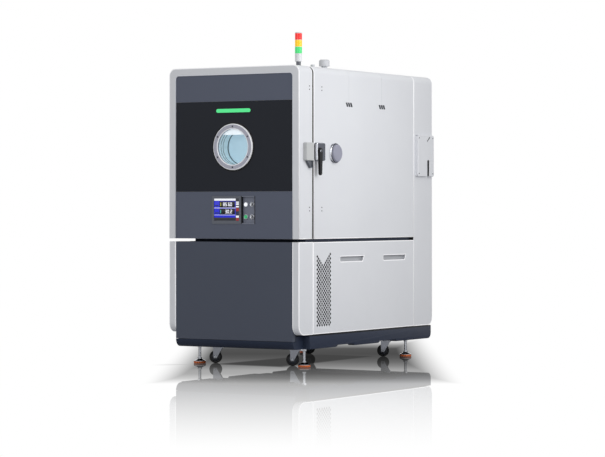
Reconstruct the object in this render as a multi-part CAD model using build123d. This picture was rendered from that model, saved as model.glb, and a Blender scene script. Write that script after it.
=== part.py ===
"""Free-standing environmental test chamber on castors, built as separate pieces.

Millimetres. +X is to the right seen from the front, +Y runs from the front to the back, +Z is up.
The origin is on the floor, under the middle of the whole outline.
Depths are measured back from the front edge of the door.
"""
import os

from build123d import *

os.makedirs("parts", exist_ok=True)

# Body
body_width = 900
body_depth = 1610
body_top = 1750
corner_radius = 42
rim_width = 45
sheet = 2
fit_gap = 0.3
run_gap = 0.05
front_proud = 8
rear_proud = 12

# Heights of the main lines
panel_bottom = 156
side_bottom = 193
gap_bottom = 729
gap_height = 18

# Depths of the main lines, back from the door face
door_depth = 146
seal_gap = 19
pillar_depth = 156
column_depth = 239
seam = 2

# Door face
face_recess = 4
face_plate = 3
face_joint = 0.5
band_bottom = 1023
band_top = 1549

# Test space, 225 litres
space_width = 500
space_height = 750
space_depth = 600
plenum_depth = 180
back_insulation = 120
plug_reach = 40
plug_clearance = 5

# Viewport
port_height = 1283
pane_radius = 105
ring_width = 30
tunnel_wall = 7
pane = 6

# Touch screen and controls, beside each other and centred together
screen_width = 202
screen_height = 162
screen_bottom = 834
controls_width = 96
bezel = 14
screen_seat = 4
control_radius = 11
control_recess = 16
housing_depth = 60

lamp_inset = 26
light_bar_height = 1495
light_bar_length = 237
light_bar_width = 22

# Cable port
cable_port_at = 400
cable_port_radius = 50
cable_flange_radius = 59
cable_flange = 12
cable_wall = 3

# Lift-off side covers, with a finger recess at each share of their length
panel_fold = 16
pull_length = 283
pull_depth = 18
pull_height = 30
pull_bottom = 610
pull_shares = (0.371, 0.799)
vent_from = 204
vent_to = 352
vent_bottom = 244
vent_top = 661
vent_columns = 12
vent_pitch = 25
vent_hole = 5.2

# Roof seams and the louvres under them
roof_seams = (569, 965)
louvre_height = 1527
louvre_length = 75
louvre_rise = 25

# Rear column
column_window = 40
window_foot = 60
exhaust_height = 470
exhaust_radius = 150
slot_pitch = 30
slot_length = 136
slot_height = 12
drain_at = 300
cover_width = 209
cover_bottom = 1124
cover_top = 1382
cover_proud = 20

# Latch
latch_top = 1305
latch_height = 105
latch_width = 92
latch_proud = 24
lever_thick = 12
lever_length = 128
pivot_radius = 7
keeper_width = 80
keeper_gap = 18

# Hinge
hinge_radius = 10
hinge_pin_radius = 4
hinge_heights = (940, 1560)
hinge_height = 120
leaf = 3

# Wheels and feet
foot_inset = 85
foot_rows = (198, body_depth - 192)
castor_inset = 180
castor_rows = (270, body_depth - 258)
castor_plate = 38
castor_plate_thick = 4
castor_crown = 33
wheel_radius = 37.5
wheel_width = 26
axle_radius = 6
castor_trail = 24
castor_turn = 205
stem_radius = 8
cup_radius = 36

# Signal tower and top fittings
tower_inset = 150
tower_at = 240
tower_radius = 21
lens_height = 40
tower_seat = 79
cap_at = 535
gland_at = 400

# Inside the chamber and the machine space
fan_drop = 140
fan_radius = 95
shaft_radius = 8
shelf_rise = (230, 500)
shelf_bar = 6
frame_tube = 30
condenser_height = 470
condenser_half = 246
condenser_behind = 380
compressors_before = 470

# Worked out from the sizes above
half = body_width / 2
inner_half = half - rim_width
plinth_bottom = 2 * wheel_radius + castor_crown
front_y = -(body_depth + rear_proud - front_proud) / 2
door_bottom = gap_bottom + gap_height
shell_at = door_depth + seal_gap
column_at = body_depth - column_depth
space_bottom = (door_bottom + body_top - space_height) / 2
space_top = space_bottom + space_height
liner_back = shell_at + space_depth + plenum_depth
insulation_back = liner_back + back_insulation
deck_top = side_bottom + 4
face_top = body_top - rim_width
screen_left = -(screen_width + controls_width) / 2
controls_left = screen_left + screen_width
screen_top = screen_bottom + screen_height
controls_right = controls_left + controls_width
control_columns = (controls_left + 24.5, controls_left + 67.5)
control_rows = (screen_bottom + 41, screen_top - 49)
cable_height = (door_bottom + body_top) / 2
fan_height = space_top - fan_drop
shelf_heights = [space_bottom + rise for rise in shelf_rise]
panel_start = pillar_depth + seam
panel_end = column_at - seam
cover_to = body_depth - 10
cover_from = cover_to - cover_width
latch_from = shell_at + 2
pivot_depth = latch_from + 22
pivot_height = latch_top - 48
keeper_to = door_depth - keeper_gap
hinge_x = -half - leaf - hinge_radius + 1
hinge_depth = (door_depth + shell_at) / 2
tower_x = half - tower_inset
lens_foot = body_top + tower_seat
condenser_at = body_depth - condenser_behind
machines_at = condenser_at - compressors_before


def at(depth):
    """Y of a depth behind the door face."""
    return front_y + depth


def rect(u0, u1, v0, v1, radius=0):
    """Rectangle between two corners, with rounded corners if a radius is given."""
    shape = RectangleRounded(u1 - u0, v1 - v0, radius) if radius else Rectangle(u1 - u0, v1 - v0)
    return Pos((u0 + u1) / 2, (v0 + v1) / 2) * shape


def polygon(*points):
    return make_face(Polyline(*points, close=True))


def through_y(sketch, depth0, depth1):
    """Carry an X-Z outline from one depth to another."""
    plane = Plane(origin=(0, at(depth0), 0), x_dir=(1, 0, 0), z_dir=(0, -1, 0))
    return extrude(plane * sketch, amount=depth0 - depth1)


def through_x(sketch, x0, x1):
    """Carry a depth-Z outline from one X to another."""
    plane = Plane(origin=(x0, front_y, 0), x_dir=(0, 1, 0), z_dir=(1, 0, 0))
    return extrude(plane * sketch, amount=x1 - x0)


def through_z(sketch, z0, z1):
    """Carry an X-depth outline from one height to another."""
    plane = Plane(origin=(0, front_y, z0), x_dir=(1, 0, 0), z_dir=(0, 0, 1))
    return extrude(plane * sketch, amount=z1 - z0)


def block(x0, x1, depth0, depth1, z0, z1):
    return through_z(rect(x0, x1, depth0, depth1), z0, z1)


def rod_x(radius, x0, x1, depth, z):
    return through_x(Pos(depth, z) * Circle(radius), x0, x1)


def rod_y(radius, depth0, depth1, x, z):
    return through_y(Pos(x, z) * Circle(radius), depth0, depth1)


def rod_z(radius, z0, z1, x, depth):
    return through_z(Pos(x, depth) * Circle(radius), z0, z1)


def turned_z(points, x, depth):
    """Turn a radius-height outline about an upright axis."""
    outline = Plane.XZ * polygon(*points)
    return Pos(x, at(depth), 0) * revolve(outline, Axis.Z)


def turned_y(points, x, z):
    """Turn a radius-depth outline about an axis that runs front to back."""
    outline = Plane.XY * polygon(*points)
    return Pos(x, front_y, z) * revolve(outline, Axis.Y)


def arch(inset, bottom):
    """Cross-section of the casing: square at the foot, rounded at the two top edges."""
    outline = rect(-half + inset, half - inset, bottom, body_top - inset)
    return fillet(outline.vertices().group_by(Axis.Y)[-1], corner_radius - inset)


def save(shape, name):
    export_step(shape, f"parts/{name}.step")


def base_plinth():
    """Welded base: rounded front and back edges, a lip along each side, fork notches and castor plates."""
    back = body_depth - 10
    step = face_recess + 32
    wall = 4
    lip = 8
    floor_top = plinth_bottom + wall
    profile = polygon(
        (face_recess, plinth_bottom), (back, plinth_bottom), (back, side_bottom), (step, side_bottom),
        (step, panel_bottom - seam), (face_recess, panel_bottom - seam))
    bottom_corners = profile.vertices().group_by(Axis.Y)[0]
    front_radius = (panel_bottom - seam - plinth_bottom) * 0.95
    profile = fillet(bottom_corners, front_radius)
    plinth = through_x(profile, -inner_half, inner_half)
    lip_top = plinth_bottom + 35
    for side in (-1, 1):
        recess = polygon(
            (side * (inner_half + 1), lip_top), (side * inner_half, lip_top),
            (side * (inner_half - lip), lip_top + lip), (side * (inner_half - lip), side_bottom + 1),
            (side * (inner_half + 1), side_bottom + 1))
        plinth -= through_y(recess, foot_rows[0] - 7, back + 1)
    rib = 50
    trough = inner_half - lip - wall
    plinth -= block(-trough, trough, step + wall, back - rib, floor_top, side_bottom + 1)
    notch = 11
    reach = 113
    for centre in (castor_rows[0] + 350, castor_rows[1] - 224):
        cut = polygon(
            (centre - reach, plinth_bottom - 1), (centre + reach, plinth_bottom - 1),
            (centre + reach - notch, plinth_bottom + notch), (centre - reach + notch, plinth_bottom + notch))
        plinth += block(
            -inner_half + lip, inner_half - lip, centre - reach - wall, centre + reach + wall, plinth_bottom,
            floor_top + notch)
        plinth -= through_x(cut, -inner_half - 1, inner_half + 1)
    pieces = []
    for side in (-1, 1):
        foot_x = side * (half - foot_inset)
        for row in foot_rows:
            plinth -= rod_z(stem_radius + run_gap, plinth_bottom - 1, floor_top + 1, foot_x, row)
        for row in castor_rows:
            x = side * (half - castor_inset)
            plinth -= rod_z(axle_radius + run_gap, plinth_bottom - 1, floor_top + 1, x, row)
            plate = block(
                x - castor_plate, x + castor_plate, row - castor_plate, row + castor_plate,
                plinth_bottom - castor_plate_thick, plinth_bottom)
            pieces.append(plate - rod_z(axle_radius + run_gap, plinth_bottom - 5, plinth_bottom + 1, x, row))
    return Compound([plinth, *pieces])


def machine_frame():
    """Frame between the plinth and the chamber: floor plate, four posts and the spacer in the shadow gap."""
    edge = half - panel_fold - fit_gap
    floor_front = 40
    frame = block(-edge, edge, panel_start + 1, panel_end, side_bottom, deck_top)
    frame += block(-inner_half, inner_half, floor_front, panel_start + 2, side_bottom, deck_top)
    tube = frame_tube
    post_x = half - 40
    for x in (-post_x, post_x):
        for row in (pillar_depth + tube, column_at - 40):
            frame += block(x - tube / 2, x + tube / 2, row - tube / 2, row + tube / 2, deck_top, gap_bottom)
    inset, notch, notch_back, back = 20, 75, 260, column_at - 23
    spacer = polygon(
        (-half + notch, shell_at), (half - inset, shell_at), (half - inset, back), (-half + inset, back),
        (-half + inset, notch_back), (-half + notch, notch_back))
    frame += through_z(spacer, gap_bottom, door_bottom)
    tongue_width, tongue_from = 60, 103
    frame += block(
        half - inset - tongue_width, half - inset, tongue_from, shell_at + 1, gap_bottom, door_bottom - 3)
    rail_edge = half - 22
    rails_from, rails_to = pillar_depth + tube / 2, column_at - 25
    frame += block(-rail_edge, rail_edge, rails_from, rails_to, gap_bottom - tube, gap_bottom)
    middle = (rails_from + rails_to) / 2
    for start, end in ((rails_from + tube, middle - tube), (middle + tube, rails_to - tube)):
        frame -= block(
            -rail_edge + 3 * tube, rail_edge - 3 * tube, start, end, gap_bottom - tube - 1, door_bottom + 1)
    return frame


def lower_front_panel():
    """Folded slate pan that closes the front of the machine space."""
    edge = inner_half - fit_gap
    fold = 30
    pan = block(-edge, edge, face_recess, face_recess + fold, panel_bottom, gap_bottom)
    return pan - block(
        -edge + sheet, edge - sheet, face_recess + sheet, face_recess + fold + 1, panel_bottom + sheet,
        gap_bottom - sheet)


def pillar_profile(inset, radius):
    """Side view of a front pillar, with its lower front corner rounded."""
    outline = rect(inset, pillar_depth, side_bottom + inset, gap_bottom - inset)
    corner = outline.vertices().sort_by_distance((inset, side_bottom + inset, 0))[0]
    return fillet(corner, radius - inset)


def front_pillars():
    """The two light front corners of the lower casing, folded sheet, open towards the inside."""
    radius = 55
    pair = []
    for side in (-1, 1):
        solid = through_x(pillar_profile(0, radius), side * inner_half, side * half)
        hollow = through_x(
            pillar_profile(sheet, radius) + rect(pillar_depth - 5, pillar_depth + 1, side_bottom + sheet,
                                                 gap_bottom - sheet),
            side * (inner_half + sheet), side * (half - sheet))
        pair.append(solid - hollow)
    return Compound(pair)


def pull_outline(share, grow=0):
    """Finger recess at a share of the cover's length: a round front end and a back end that slopes."""
    middle = panel_start + share * (panel_end - panel_start)
    start, end = middle - pull_length / 2, middle + pull_length / 2
    low = pull_bottom - grow
    high = pull_bottom + pull_height + grow
    outline = polygon(
        (start - grow, low), (end - pull_height / 2 + grow, low), (end + grow, high), (start - grow, high))
    corners = outline.vertices().group_by(Axis.X)[0]
    return fillet(corners, pull_height / 3)


def vent_holes():
    """Staggered diamond holes, with the top of the middle columns cut off in a V."""
    step = (vent_to - vent_from) / (vent_columns - 1)
    notch_step = 11
    shape = polygon((-vent_hole, 0), (0, -vent_hole), (vent_hole, 0), (0, vent_hole))
    spots = []
    for column in range(vent_columns):
        from_edge = min(column, vent_columns - 1 - column)
        top = vent_top - from_edge * notch_step
        z = vent_bottom + (column % 2) * vent_pitch / 2
        while z <= top:
            spots.append(Pos(vent_from + column * step, z) * shape)
            z += vent_pitch
    return spots


def access_panel(side):
    """Lift-off side cover: a folded pan with two finger recesses, and air holes on the right-hand one."""
    outer, inner = side * half, side * (half - sheet)
    low, high = side_bottom + 1, gap_bottom - 1
    folded = half - panel_fold
    panel = through_x(rect(panel_start, panel_end, low, high), side * folded, outer)
    panel -= through_x(
        rect(panel_start + sheet, panel_end - sheet, low + sheet, high - sheet), side * (folded - 1), inner)
    for share in pull_shares:
        panel += through_x(pull_outline(share, sheet), side * (half - pull_depth - sheet), inner)
        panel -= through_x(pull_outline(share), side * (half - pull_depth), side * (half + 1))
    if side > 0:
        panel -= through_x(Sketch() + vent_holes(), inner - 1, outer + 1)
    return panel


def louvre_slots(depth):
    """Three slanting slots side by side, pressed through the side sheet below a roof seam."""
    slots = 3
    pitch = louvre_length / slots
    bridge = 5
    lean = louvre_rise / 2
    slot = polygon((0, louvre_rise), (pitch - bridge, louvre_rise), (pitch - bridge + lean, 0), (lean, 0))
    left = depth - louvre_length / 2
    return [Pos(left + index * pitch, louvre_height) * slot for index in range(slots)]


def port_hole(x0):
    """Clearance for the cable port's tube through the right wall."""
    return rod_x(cable_port_radius + cable_wall + fit_gap, x0, half + 1, cable_port_at, cable_height)


def cabinet_shell():
    """Outer casing of the insulated chamber: a tube, open at both ends, with two seams over the roof."""
    shell = through_y(arch(0, door_bottom), shell_at, column_at - seam)
    shell -= through_y(arch(sheet, door_bottom + sheet), shell_at - 1, column_at)
    seam_foot = louvre_height + louvre_rise + 3
    groove = arch(-1, seam_foot) - arch(sheet / 2, seam_foot - 1)
    for depth in roof_seams:
        shell -= through_y(groove, depth - sheet / 2, depth + sheet / 2)
        shell -= through_x(Sketch() + louvre_slots(depth), half - sheet - 1, half + 1)
    return shell - port_hole(half - 10)


def liner_box(grow, start, end):
    return block(
        -space_width / 2 - grow, space_width / 2 + grow, start, end, space_bottom - grow, space_top + grow)


def fan_bore(radius, start, end):
    return rod_y(radius, start, end, 0, fan_height)


def inner_liner():
    """Welded stainless box with a flange round its mouth, on which the door seal closes."""
    flange = sheet
    liner = through_y(arch(sheet + 1, door_bottom + sheet + 1), shell_at, shell_at + flange)
    liner += liner_box(sheet, shell_at, liner_back + sheet)
    liner -= liner_box(0, shell_at - 1, liner_back)
    liner -= port_hole(space_width / 2 - 5)
    return liner - fan_bore(shaft_radius + 1, liner_back - 1, liner_back + sheet + 1)


def cabinet_insulation():
    """Foam between the casing and the liner."""
    foam = through_y(arch(sheet, door_bottom + sheet), shell_at + sheet, insulation_back)
    foam -= liner_box(sheet, shell_at, liner_back + sheet)
    foam -= port_hole(0)
    return foam - fan_bore(shaft_radius + 1, liner_back, insulation_back + 1)


def column_profile(inset):
    """Side view of the rear column, with its lower back corner rounded."""
    radius = 48
    outline = rect(column_at, body_depth - inset, side_bottom + inset, body_top - inset)
    corner = outline.vertices().sort_by_distance((body_depth - inset, side_bottom + inset, 0))[0]
    return fillet(corner, radius - inset)


def rear_column():
    """Full-height casing at the back, open at the front and with a large opening behind."""
    column = through_y(arch(0, side_bottom), column_at, body_depth)
    column &= through_x(column_profile(0), -half, half)
    hollow = through_y(arch(sheet, side_bottom + sheet), column_at - 1, body_depth)
    hollow &= through_x(column_profile(sheet) + rect(column_at - 5, column_at + 5, side_bottom + sheet,
                                                     body_top - sheet), -half, half)
    column -= hollow
    window = rect(
        -half + column_window, half - column_window, side_bottom + window_foot, body_top - column_window)
    return column - through_y(window, body_depth - 10, body_depth + 1)


def rear_panel():
    """Back cover behind the column's opening, with a field of exhaust slots for the condenser fan."""
    lap = 10
    low, high = side_bottom + window_foot - lap, body_top - column_window + lap
    edge = half - column_window + lap
    panel = through_y(rect(-edge, edge, low, high), body_depth - 2 * sheet, body_depth - sheet)
    count = int(2 * exhaust_radius / slot_pitch)
    slots = []
    for row in range(count + 1):
        z = exhaust_height + (row - count / 2) * slot_pitch
        for middle in (-80, 80):
            slots.append(Pos(middle, z) * Rectangle(slot_length, slot_height))
    panel -= through_y(Sketch() + slots, body_depth - 10, body_depth)
    seat, stub_z = body_depth - sheet, side_bottom + 110
    stub, bore = 16, 11
    for x in (-drain_at, drain_at):
        panel += rod_y(stub, seat - 1, body_depth + rear_proud, x, stub_z)
        panel -= rod_y(bore, seat - 1, body_depth + rear_proud + 1, x, stub_z)
    return panel


def service_cover():
    """Raised cover on the right of the column: a lead slot at its foot and a slanting one near its top."""
    face = half + cover_proud
    inner_from, inner_to = cover_from + sheet, cover_to - sheet
    shape = through_x(rect(cover_from, cover_to, cover_bottom, cover_top, 10), half, face)
    shape = chamfer(shape.faces().sort_by(Axis.X)[-1].edges(), 3)
    shape -= through_x(
        rect(inner_from, inner_to, cover_bottom + sheet, cover_top - sheet), half - 1, face - sheet)
    centre, slot_half, slot_top = cover_to - 76, 12, cover_bottom + 105
    slot = rect(centre - slot_half, centre + slot_half, cover_bottom - 1, slot_top - slot_half)
    slot += Pos(centre, slot_top - slot_half) * Circle(slot_half)
    slot += Pos(centre + 5, cover_top - 24) * Rot(0, 0, 40) * Rectangle(46, 8)
    return shape - through_x(slot, half - 1, face + 1)


def port_tube():
    """Cable port: a flanged tube through the right wall."""
    tube = rod_x(cable_port_radius + cable_wall, space_width / 2, half, cable_port_at, cable_height)
    flange = rod_x(cable_flange_radius, half, half + cable_flange, cable_port_at, cable_height)
    flange = chamfer(flange.edges().sort_by(Axis.X)[-1], 3)
    bore = rod_x(cable_port_radius, space_width / 2 - 1, half + cable_flange + 1, cable_port_at, cable_height)
    return tube + flange - bore


def cable_plug():
    """Soft plug that fills the cable port, with a head to pull it by."""
    body_radius = cable_port_radius - fit_gap
    head = cable_flange + fit_gap
    plug = rod_x(body_radius, space_width / 2 + 30, half + head, cable_port_at, cable_height)
    cap = rod_x(body_radius + 1, half + head, half + 26, cable_port_at, cable_height)
    cap = chamfer(cap.edges().sort_by(Axis.X)[-1], 4)
    return plug + cap


def latch_housing():
    """Chrome body of the door latch, screwed to the cabinet side, with the lever's pivot pin."""
    outline = rect(latch_from, latch_from + latch_width, latch_top - latch_height, latch_top, 9)
    housing = through_x(outline, half, half + latch_proud)
    housing = chamfer(housing.faces().sort_by(Axis.X)[-1].edges(), 4)
    seat = half + latch_proud
    return housing + rod_x(pivot_radius, seat - 1, seat + lever_thick, pivot_depth, pivot_height)


def latch_lever():
    """Black tapered lever that hangs down when the door is shut."""
    start = half + latch_proud + fit_gap
    boss, tip, tip_height = 20, 13, pivot_height - lever_length
    taper = polygon(
        (pivot_depth - boss, pivot_height), (pivot_depth - tip, tip_height),
        (pivot_depth + tip, tip_height), (pivot_depth + boss, pivot_height))
    outline = taper + Pos(pivot_depth, pivot_height) * Circle(boss)
    outline += Pos(pivot_depth, tip_height) * Circle(tip)
    end = start + lever_thick
    lever = through_x(outline, start, end)
    lever = chamfer(lever.faces().sort_by(Axis.X)[-1].edges(), 2.5)
    return lever - rod_x(pivot_radius + run_gap, start - 1, end + 1, pivot_depth, pivot_height)


def latch_keeper():
    """Keeper on the door side that the latch pulls against, with a wedge below it."""
    low = latch_top - latch_height
    start, end = keeper_to - keeper_width, keeper_to
    keeper = through_x(rect(start, end, low, latch_top, 8), half, half + latch_proud)
    keeper = chamfer(keeper.faces().sort_by(Axis.X)[-1].edges(), 3)
    overlap, tip, tip_width = 8, low - 42, 20
    wedge = polygon(
        (start + 10, low + overlap), (end - 2, low + overlap), (end - 2, tip), (end - 2 - tip_width, tip))
    return keeper + through_x(wedge, half, half + latch_proud - 8)


def hinge_part(on_door):
    """Leaf and knuckles of the two door hinges; the cabinet halves carry the pins."""
    parts = []
    knuckle_gap = 0.4
    width, root, reach = 60, 2, hinge_radius + 3
    third = hinge_height / 3
    for middle in hinge_heights:
        low, high = middle - hinge_height / 2, middle + hinge_height / 2
        if on_door:
            start, end = hinge_depth - width, hinge_depth - root
            spans = ((low + third + knuckle_gap, high - third - knuckle_gap),)
            cleared = ((low - 1, low + third + knuckle_gap), (high - third - knuckle_gap, high + 1))
        else:
            start, end = hinge_depth + root, hinge_depth + width
            spans = ((low, low + third), (high - third, high))
            cleared = ((low + third, high - third),)
        plate = block(-half - leaf, -half, start, end, low, high)
        for z0, z1 in cleared:
            plate -= block(-half - leaf - 1, -half + 1, hinge_depth - reach, hinge_depth + reach, z0, z1)
        for z0, z1 in spans:
            plate += rod_z(hinge_radius, z0, z1, hinge_x, hinge_depth)
        bore = hinge_pin_radius + (run_gap if on_door else 0)
        plate -= rod_z(bore, low - 1, high + 1, hinge_x, hinge_depth)
        if not on_door:
            plate += rod_z(hinge_pin_radius, low - 3, high + 3, hinge_x, hinge_depth)
        parts.append(plate)
    return Compound(parts)


def signal_base():
    """Short neck and grey base of the signal tower, and the cap on its top."""
    shoulder = body_top + 34
    neck, foot, foot_height = 14, 24, 5
    base = rod_z(neck, body_top, shoulder, tower_x, tower_at)
    base += rod_z(foot, body_top, body_top + foot_height, tower_x, tower_at)
    base += rod_z(tower_radius, shoulder, lens_foot, tower_x, tower_at)
    lens_top = lens_foot + 3 * lens_height
    cap = rod_z(tower_radius, lens_top, lens_top + 6, tower_x, tower_at)
    return Compound([base, chamfer(cap.edges().sort_by(Axis.Z)[-1], 2)])


def signal_lenses():
    """Three stacked lenses of the signal tower, each with a groove at its foot."""
    groove = 2
    lenses = []
    for index in range(3):
        z = lens_foot + index * lens_height
        lens = rod_z(tower_radius - 1, z, z + groove, tower_x, tower_at)
        lenses.append(lens + rod_z(tower_radius, z + groove, z + lens_height, tower_x, tower_at))
    return Compound(lenses)


def top_fittings():
    """Breather cap and a small cable gland on the roof."""
    neck, hood = 18, 32
    hood_from, hood_to = body_top + 21, body_top + 60
    breather = turned_z(
        ((0, body_top), (neck, body_top), (neck, hood_from), (hood, hood_from), (hood, hood_to - 8),
         (hood - 6, hood_to), (0, hood_to)), tower_x, cap_at)
    nut, stub = 20, 12
    gland = turned_z(
        ((0, body_top), (nut, body_top), (nut, body_top + 8), (stub, body_top + 12), (stub, body_top + 24),
         (0, body_top + 24)), tower_x, gland_at)
    return Compound([breather, gland])


def air_baffle():
    """Stainless wall in front of the coil space: a round fan inlet above and three outlet slots below."""
    start = shell_at + space_depth
    edge = space_width / 2 - 1
    plate = block(-edge, edge, start, start + sheet, space_bottom, space_top)
    plate -= rod_y(fan_radius - 12, start - 1, start + sheet + 1, 0, fan_height)
    slot, pitch = (360, 14), 26
    outlet = [Pos(0, space_bottom + 47 + row * pitch) * Rectangle(*slot) for row in range(3)]
    return plate - through_y(Sketch() + outlet, start - 1, start + sheet + 1)


def evaporator():
    """Finned cooling coil on the back wall of the coil space."""
    start, end = liner_back - 100, liner_back - fit_gap
    low, high = space_bottom + 60, space_bottom + 320
    fins, pitch, fin, tube = 11, 34, 3, 12
    coil = Part()
    for index in range(fins):
        x = (index - (fins - 1) / 2) * pitch
        coil += block(x - fin / 2, x + fin / 2, start, end, low, high)
    for z in (low + 50, low + 130, low + 210):
        coil += block(-190, 190, start + 30, start + 30 + tube, z - tube / 2, z + tube / 2)
    return coil


def heater():
    """Sheathed heating rods between two end brackets, above the cooling coil."""
    low = space_bottom + 360
    middle = liner_back - 60
    outer, bracket, bracket_height, rod, pitch = 200, 6, 90, 6, 25
    rods = Part()
    for x in (-outer, outer - bracket):
        rods += block(x, x + bracket, middle - 40, liner_back - fit_gap, low, low + bracket_height)
    for row in range(3):
        rods += rod_x(rod, -outer + 4, outer - 4, middle - 10, low + 20 + row * pitch)
    return rods


def circulation_fan():
    """Blower wheel with backward blades on a long shaft through the insulation."""
    front = shell_at + space_depth + 16
    back = front + 50
    plate, inlet, hub = 3, fan_radius - 24, shaft_radius + 10
    wheel = rod_y(fan_radius, back - plate, back, 0, fan_height)
    ring = rod_y(fan_radius, front, front + plate, 0, fan_height)
    wheel += ring - rod_y(inlet, front - 1, back, 0, fan_height)
    wheel += rod_y(hub, back - 22, back, 0, fan_height)
    blades, chord, backward = 10, 34, 35
    blade = Pos(fan_radius - 16, 0) * Rot(0, 0, backward) * Rectangle(chord, plate)
    for index in range(blades):
        wheel += through_y(Pos(0, fan_height) * Rot(0, 0, index * 360 / blades) * blade, front + 1, back - 1)
    return wheel + rod_y(shaft_radius, back - 1, insulation_back + 60, 0, fan_height)


def fan_motor():
    """Motor behind the insulation, on a square flange."""
    start = insulation_back
    square, flange, radius, length = 160, 8, 65, 150
    motor = through_y(Pos(0, fan_height) * RectangleRounded(square, square, 12), start, start + flange)
    motor += rod_y(radius, start, start + length, 0, fan_height)
    motor = chamfer(motor.edges().filter_by(GeomType.CIRCLE).sort_by(Axis.Y)[-1], 8)
    return motor - rod_y(shaft_radius + run_gap, start - 1, start + 61, 0, fan_height)


def shelves():
    """Two wire shelves on folded rails along the side walls."""
    start, end = shell_at + 60, shell_at + space_depth - 20
    wall = space_width / 2
    rest, upstand, drop = wall - 18, 14, 8
    skin = wall - sheet
    edge, margin, wires = wall - 4, 5, 13
    pieces = []
    for z in shelf_heights:
        for side in (-1, 1):
            low, tread, high = z - drop, z - drop + sheet, z + upstand
            angle = polygon(
                (side * wall, low), (side * rest, low), (side * rest, tread), (side * skin, tread),
                (side * skin, high), (side * wall, high))
            pieces.append(through_y(angle, start, end))
        rack = Part()
        for bar_from in (start + margin, end - margin - shelf_bar):
            rack += block(-edge, edge, bar_from, bar_from + shelf_bar, z - shelf_bar, z)
        for index in range(wires):
            x = -edge + (2 * edge - shelf_bar) * index / (wires - 1)
            rack += block(x, x + shelf_bar, start + margin, end - margin, z - shelf_bar, z)
        pieces.append(rack)
    return Compound(pieces)


def compressors():
    """Two hermetic compressors and a liquid receiver on the floor plate."""
    cans = []
    for x, radius, height in ((-190, 88, 270), (20, 88, 270), (220, 50, 240)):
        top = deck_top + height
        can = turned_z(
            ((0, deck_top + 14), (radius, deck_top + 14), (radius, top - radius * 0.4), (radius * 0.6, top),
             (0, top)), x, machines_at)
        foot = block(x - radius, x + radius, machines_at - 30, machines_at + 30, deck_top, deck_top + 16)
        cans.append(can + foot)
    return Compound(cans)


def condenser():
    """Finned condenser with its fan motor on a cross bar."""
    low, high = deck_top, deck_top + condenser_height
    fins, pitch, fin, depth, tube = 13, 40, 4, 60, 16
    core = Part()
    for index in range(fins):
        x = (index - (fins - 1) / 2) * pitch
        core += block(x - fin / 2, x + fin / 2, condenser_at, condenser_at + depth, low, high)
    row_from, row_to = condenser_at + 15, condenser_at + depth - 15
    for z in (low + tube / 2, (low + high) / 2, high - tube / 2):
        core += block(-condenser_half, condenser_half, row_from, row_to, z - tube / 2, z + tube / 2)
    motor_from, bar, motor = condenser_at + depth, 12, 38
    core += block(
        -condenser_half, condenser_half, motor_from - 1, motor_from + bar, exhaust_height - bar,
        exhaust_height + bar)
    core += rod_y(motor, motor_from, motor_from + 60, 0, exhaust_height)
    return core - rod_y(shaft_radius + run_gap, motor_from + 20, motor_from + 61, 0, exhaust_height)


def condenser_fan():
    """Five-bladed axial fan in front of the exhaust slots."""
    motor_end = condenser_at + 120
    hub = rod_y(32, motor_end + 4, motor_end + 58, 0, exhaust_height)
    hub += rod_y(shaft_radius, motor_end - 36, motor_end + 6, 0, exhaust_height)
    blades, pitch_angle = 5, 35
    paddle = Pos(83, 0, 0) * Rot(pitch_angle, 0, 0) * Box(110, 62, 2.5)
    for index in range(blades):
        hub += Pos(0, at(motor_end + 31), exhaust_height) * Rot(0, index * 360 / blades, 0) * paddle
    return hub


def face_window(inset):
    """Opening in the door front that the face plates fill."""
    radius = 20
    outline = rect(-inner_half + inset, inner_half - inset, door_bottom, face_top - inset)
    return fillet(outline.vertices().group_by(Axis.Y)[-1], radius)


def door_shell():
    """Folded casing of the door: sides, rounded top, floor and the rim round the face."""
    shell = through_y(arch(0, door_bottom), 0, door_depth)
    shell -= through_y(arch(sheet, door_bottom + sheet), face_recess + face_plate, door_depth + 1)
    return shell - through_y(face_window(0), -1, face_recess + face_plate + 1)


def viewport_bore(radius, start, end):
    return rod_y(radius, start, end, 0, port_height)


def screen_cutout(start, end, grow):
    return through_y(
        rect(screen_left - grow, -screen_left + grow, screen_bottom - grow, screen_top + grow), start, end)


def face_slab(low, high):
    """One plate of the door face between two heights."""
    plate = through_y(face_window(face_joint), face_recess, face_recess + face_plate)
    return plate & block(-half, half, 0, door_depth, low, high)


def door_face_panels():
    """Slate header and lower plate of the door face."""
    header = face_slab(band_top + face_joint, body_top)
    lower = face_slab(door_bottom + face_joint, band_bottom - face_joint)
    return Compound([header, lower - screen_cutout(0, door_depth, fit_gap)])


def door_glass_band():
    """Black glass across the middle of the door face."""
    bore = pane_radius + tunnel_wall + fit_gap
    return face_slab(band_bottom, band_top) - viewport_bore(bore, 0, door_depth)


def plug_box(inset, start, end):
    gap = plug_clearance + inset
    return block(
        -space_width / 2 + gap, space_width / 2 - gap, start, end, space_bottom + gap, space_top - gap)


def door_insulation():
    """Foam that fills the door and its plug."""
    start = face_recess + face_plate
    foam = through_y(arch(sheet, door_bottom + sheet), start, door_depth - sheet)
    foam += plug_box(sheet, door_depth - sheet - 1, shell_at + plug_reach - sheet)
    foam -= viewport_bore(pane_radius + tunnel_wall, 0, shell_at + plug_reach)
    return foam - screen_cutout(start - 1, start + housing_depth, 0)


def door_liner():
    """Stainless inner skin of the door, with the plug that enters the mouth of the liner."""
    skin = through_y(arch(sheet, door_bottom + sheet), door_depth - sheet, door_depth)
    skin += plug_box(0, door_depth - sheet, shell_at + plug_reach)
    skin -= plug_box(sheet, door_depth - sheet - 1, shell_at + plug_reach - sheet)
    return skin - viewport_bore(pane_radius + tunnel_wall, door_depth - 5, shell_at + plug_reach + 1)


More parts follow.
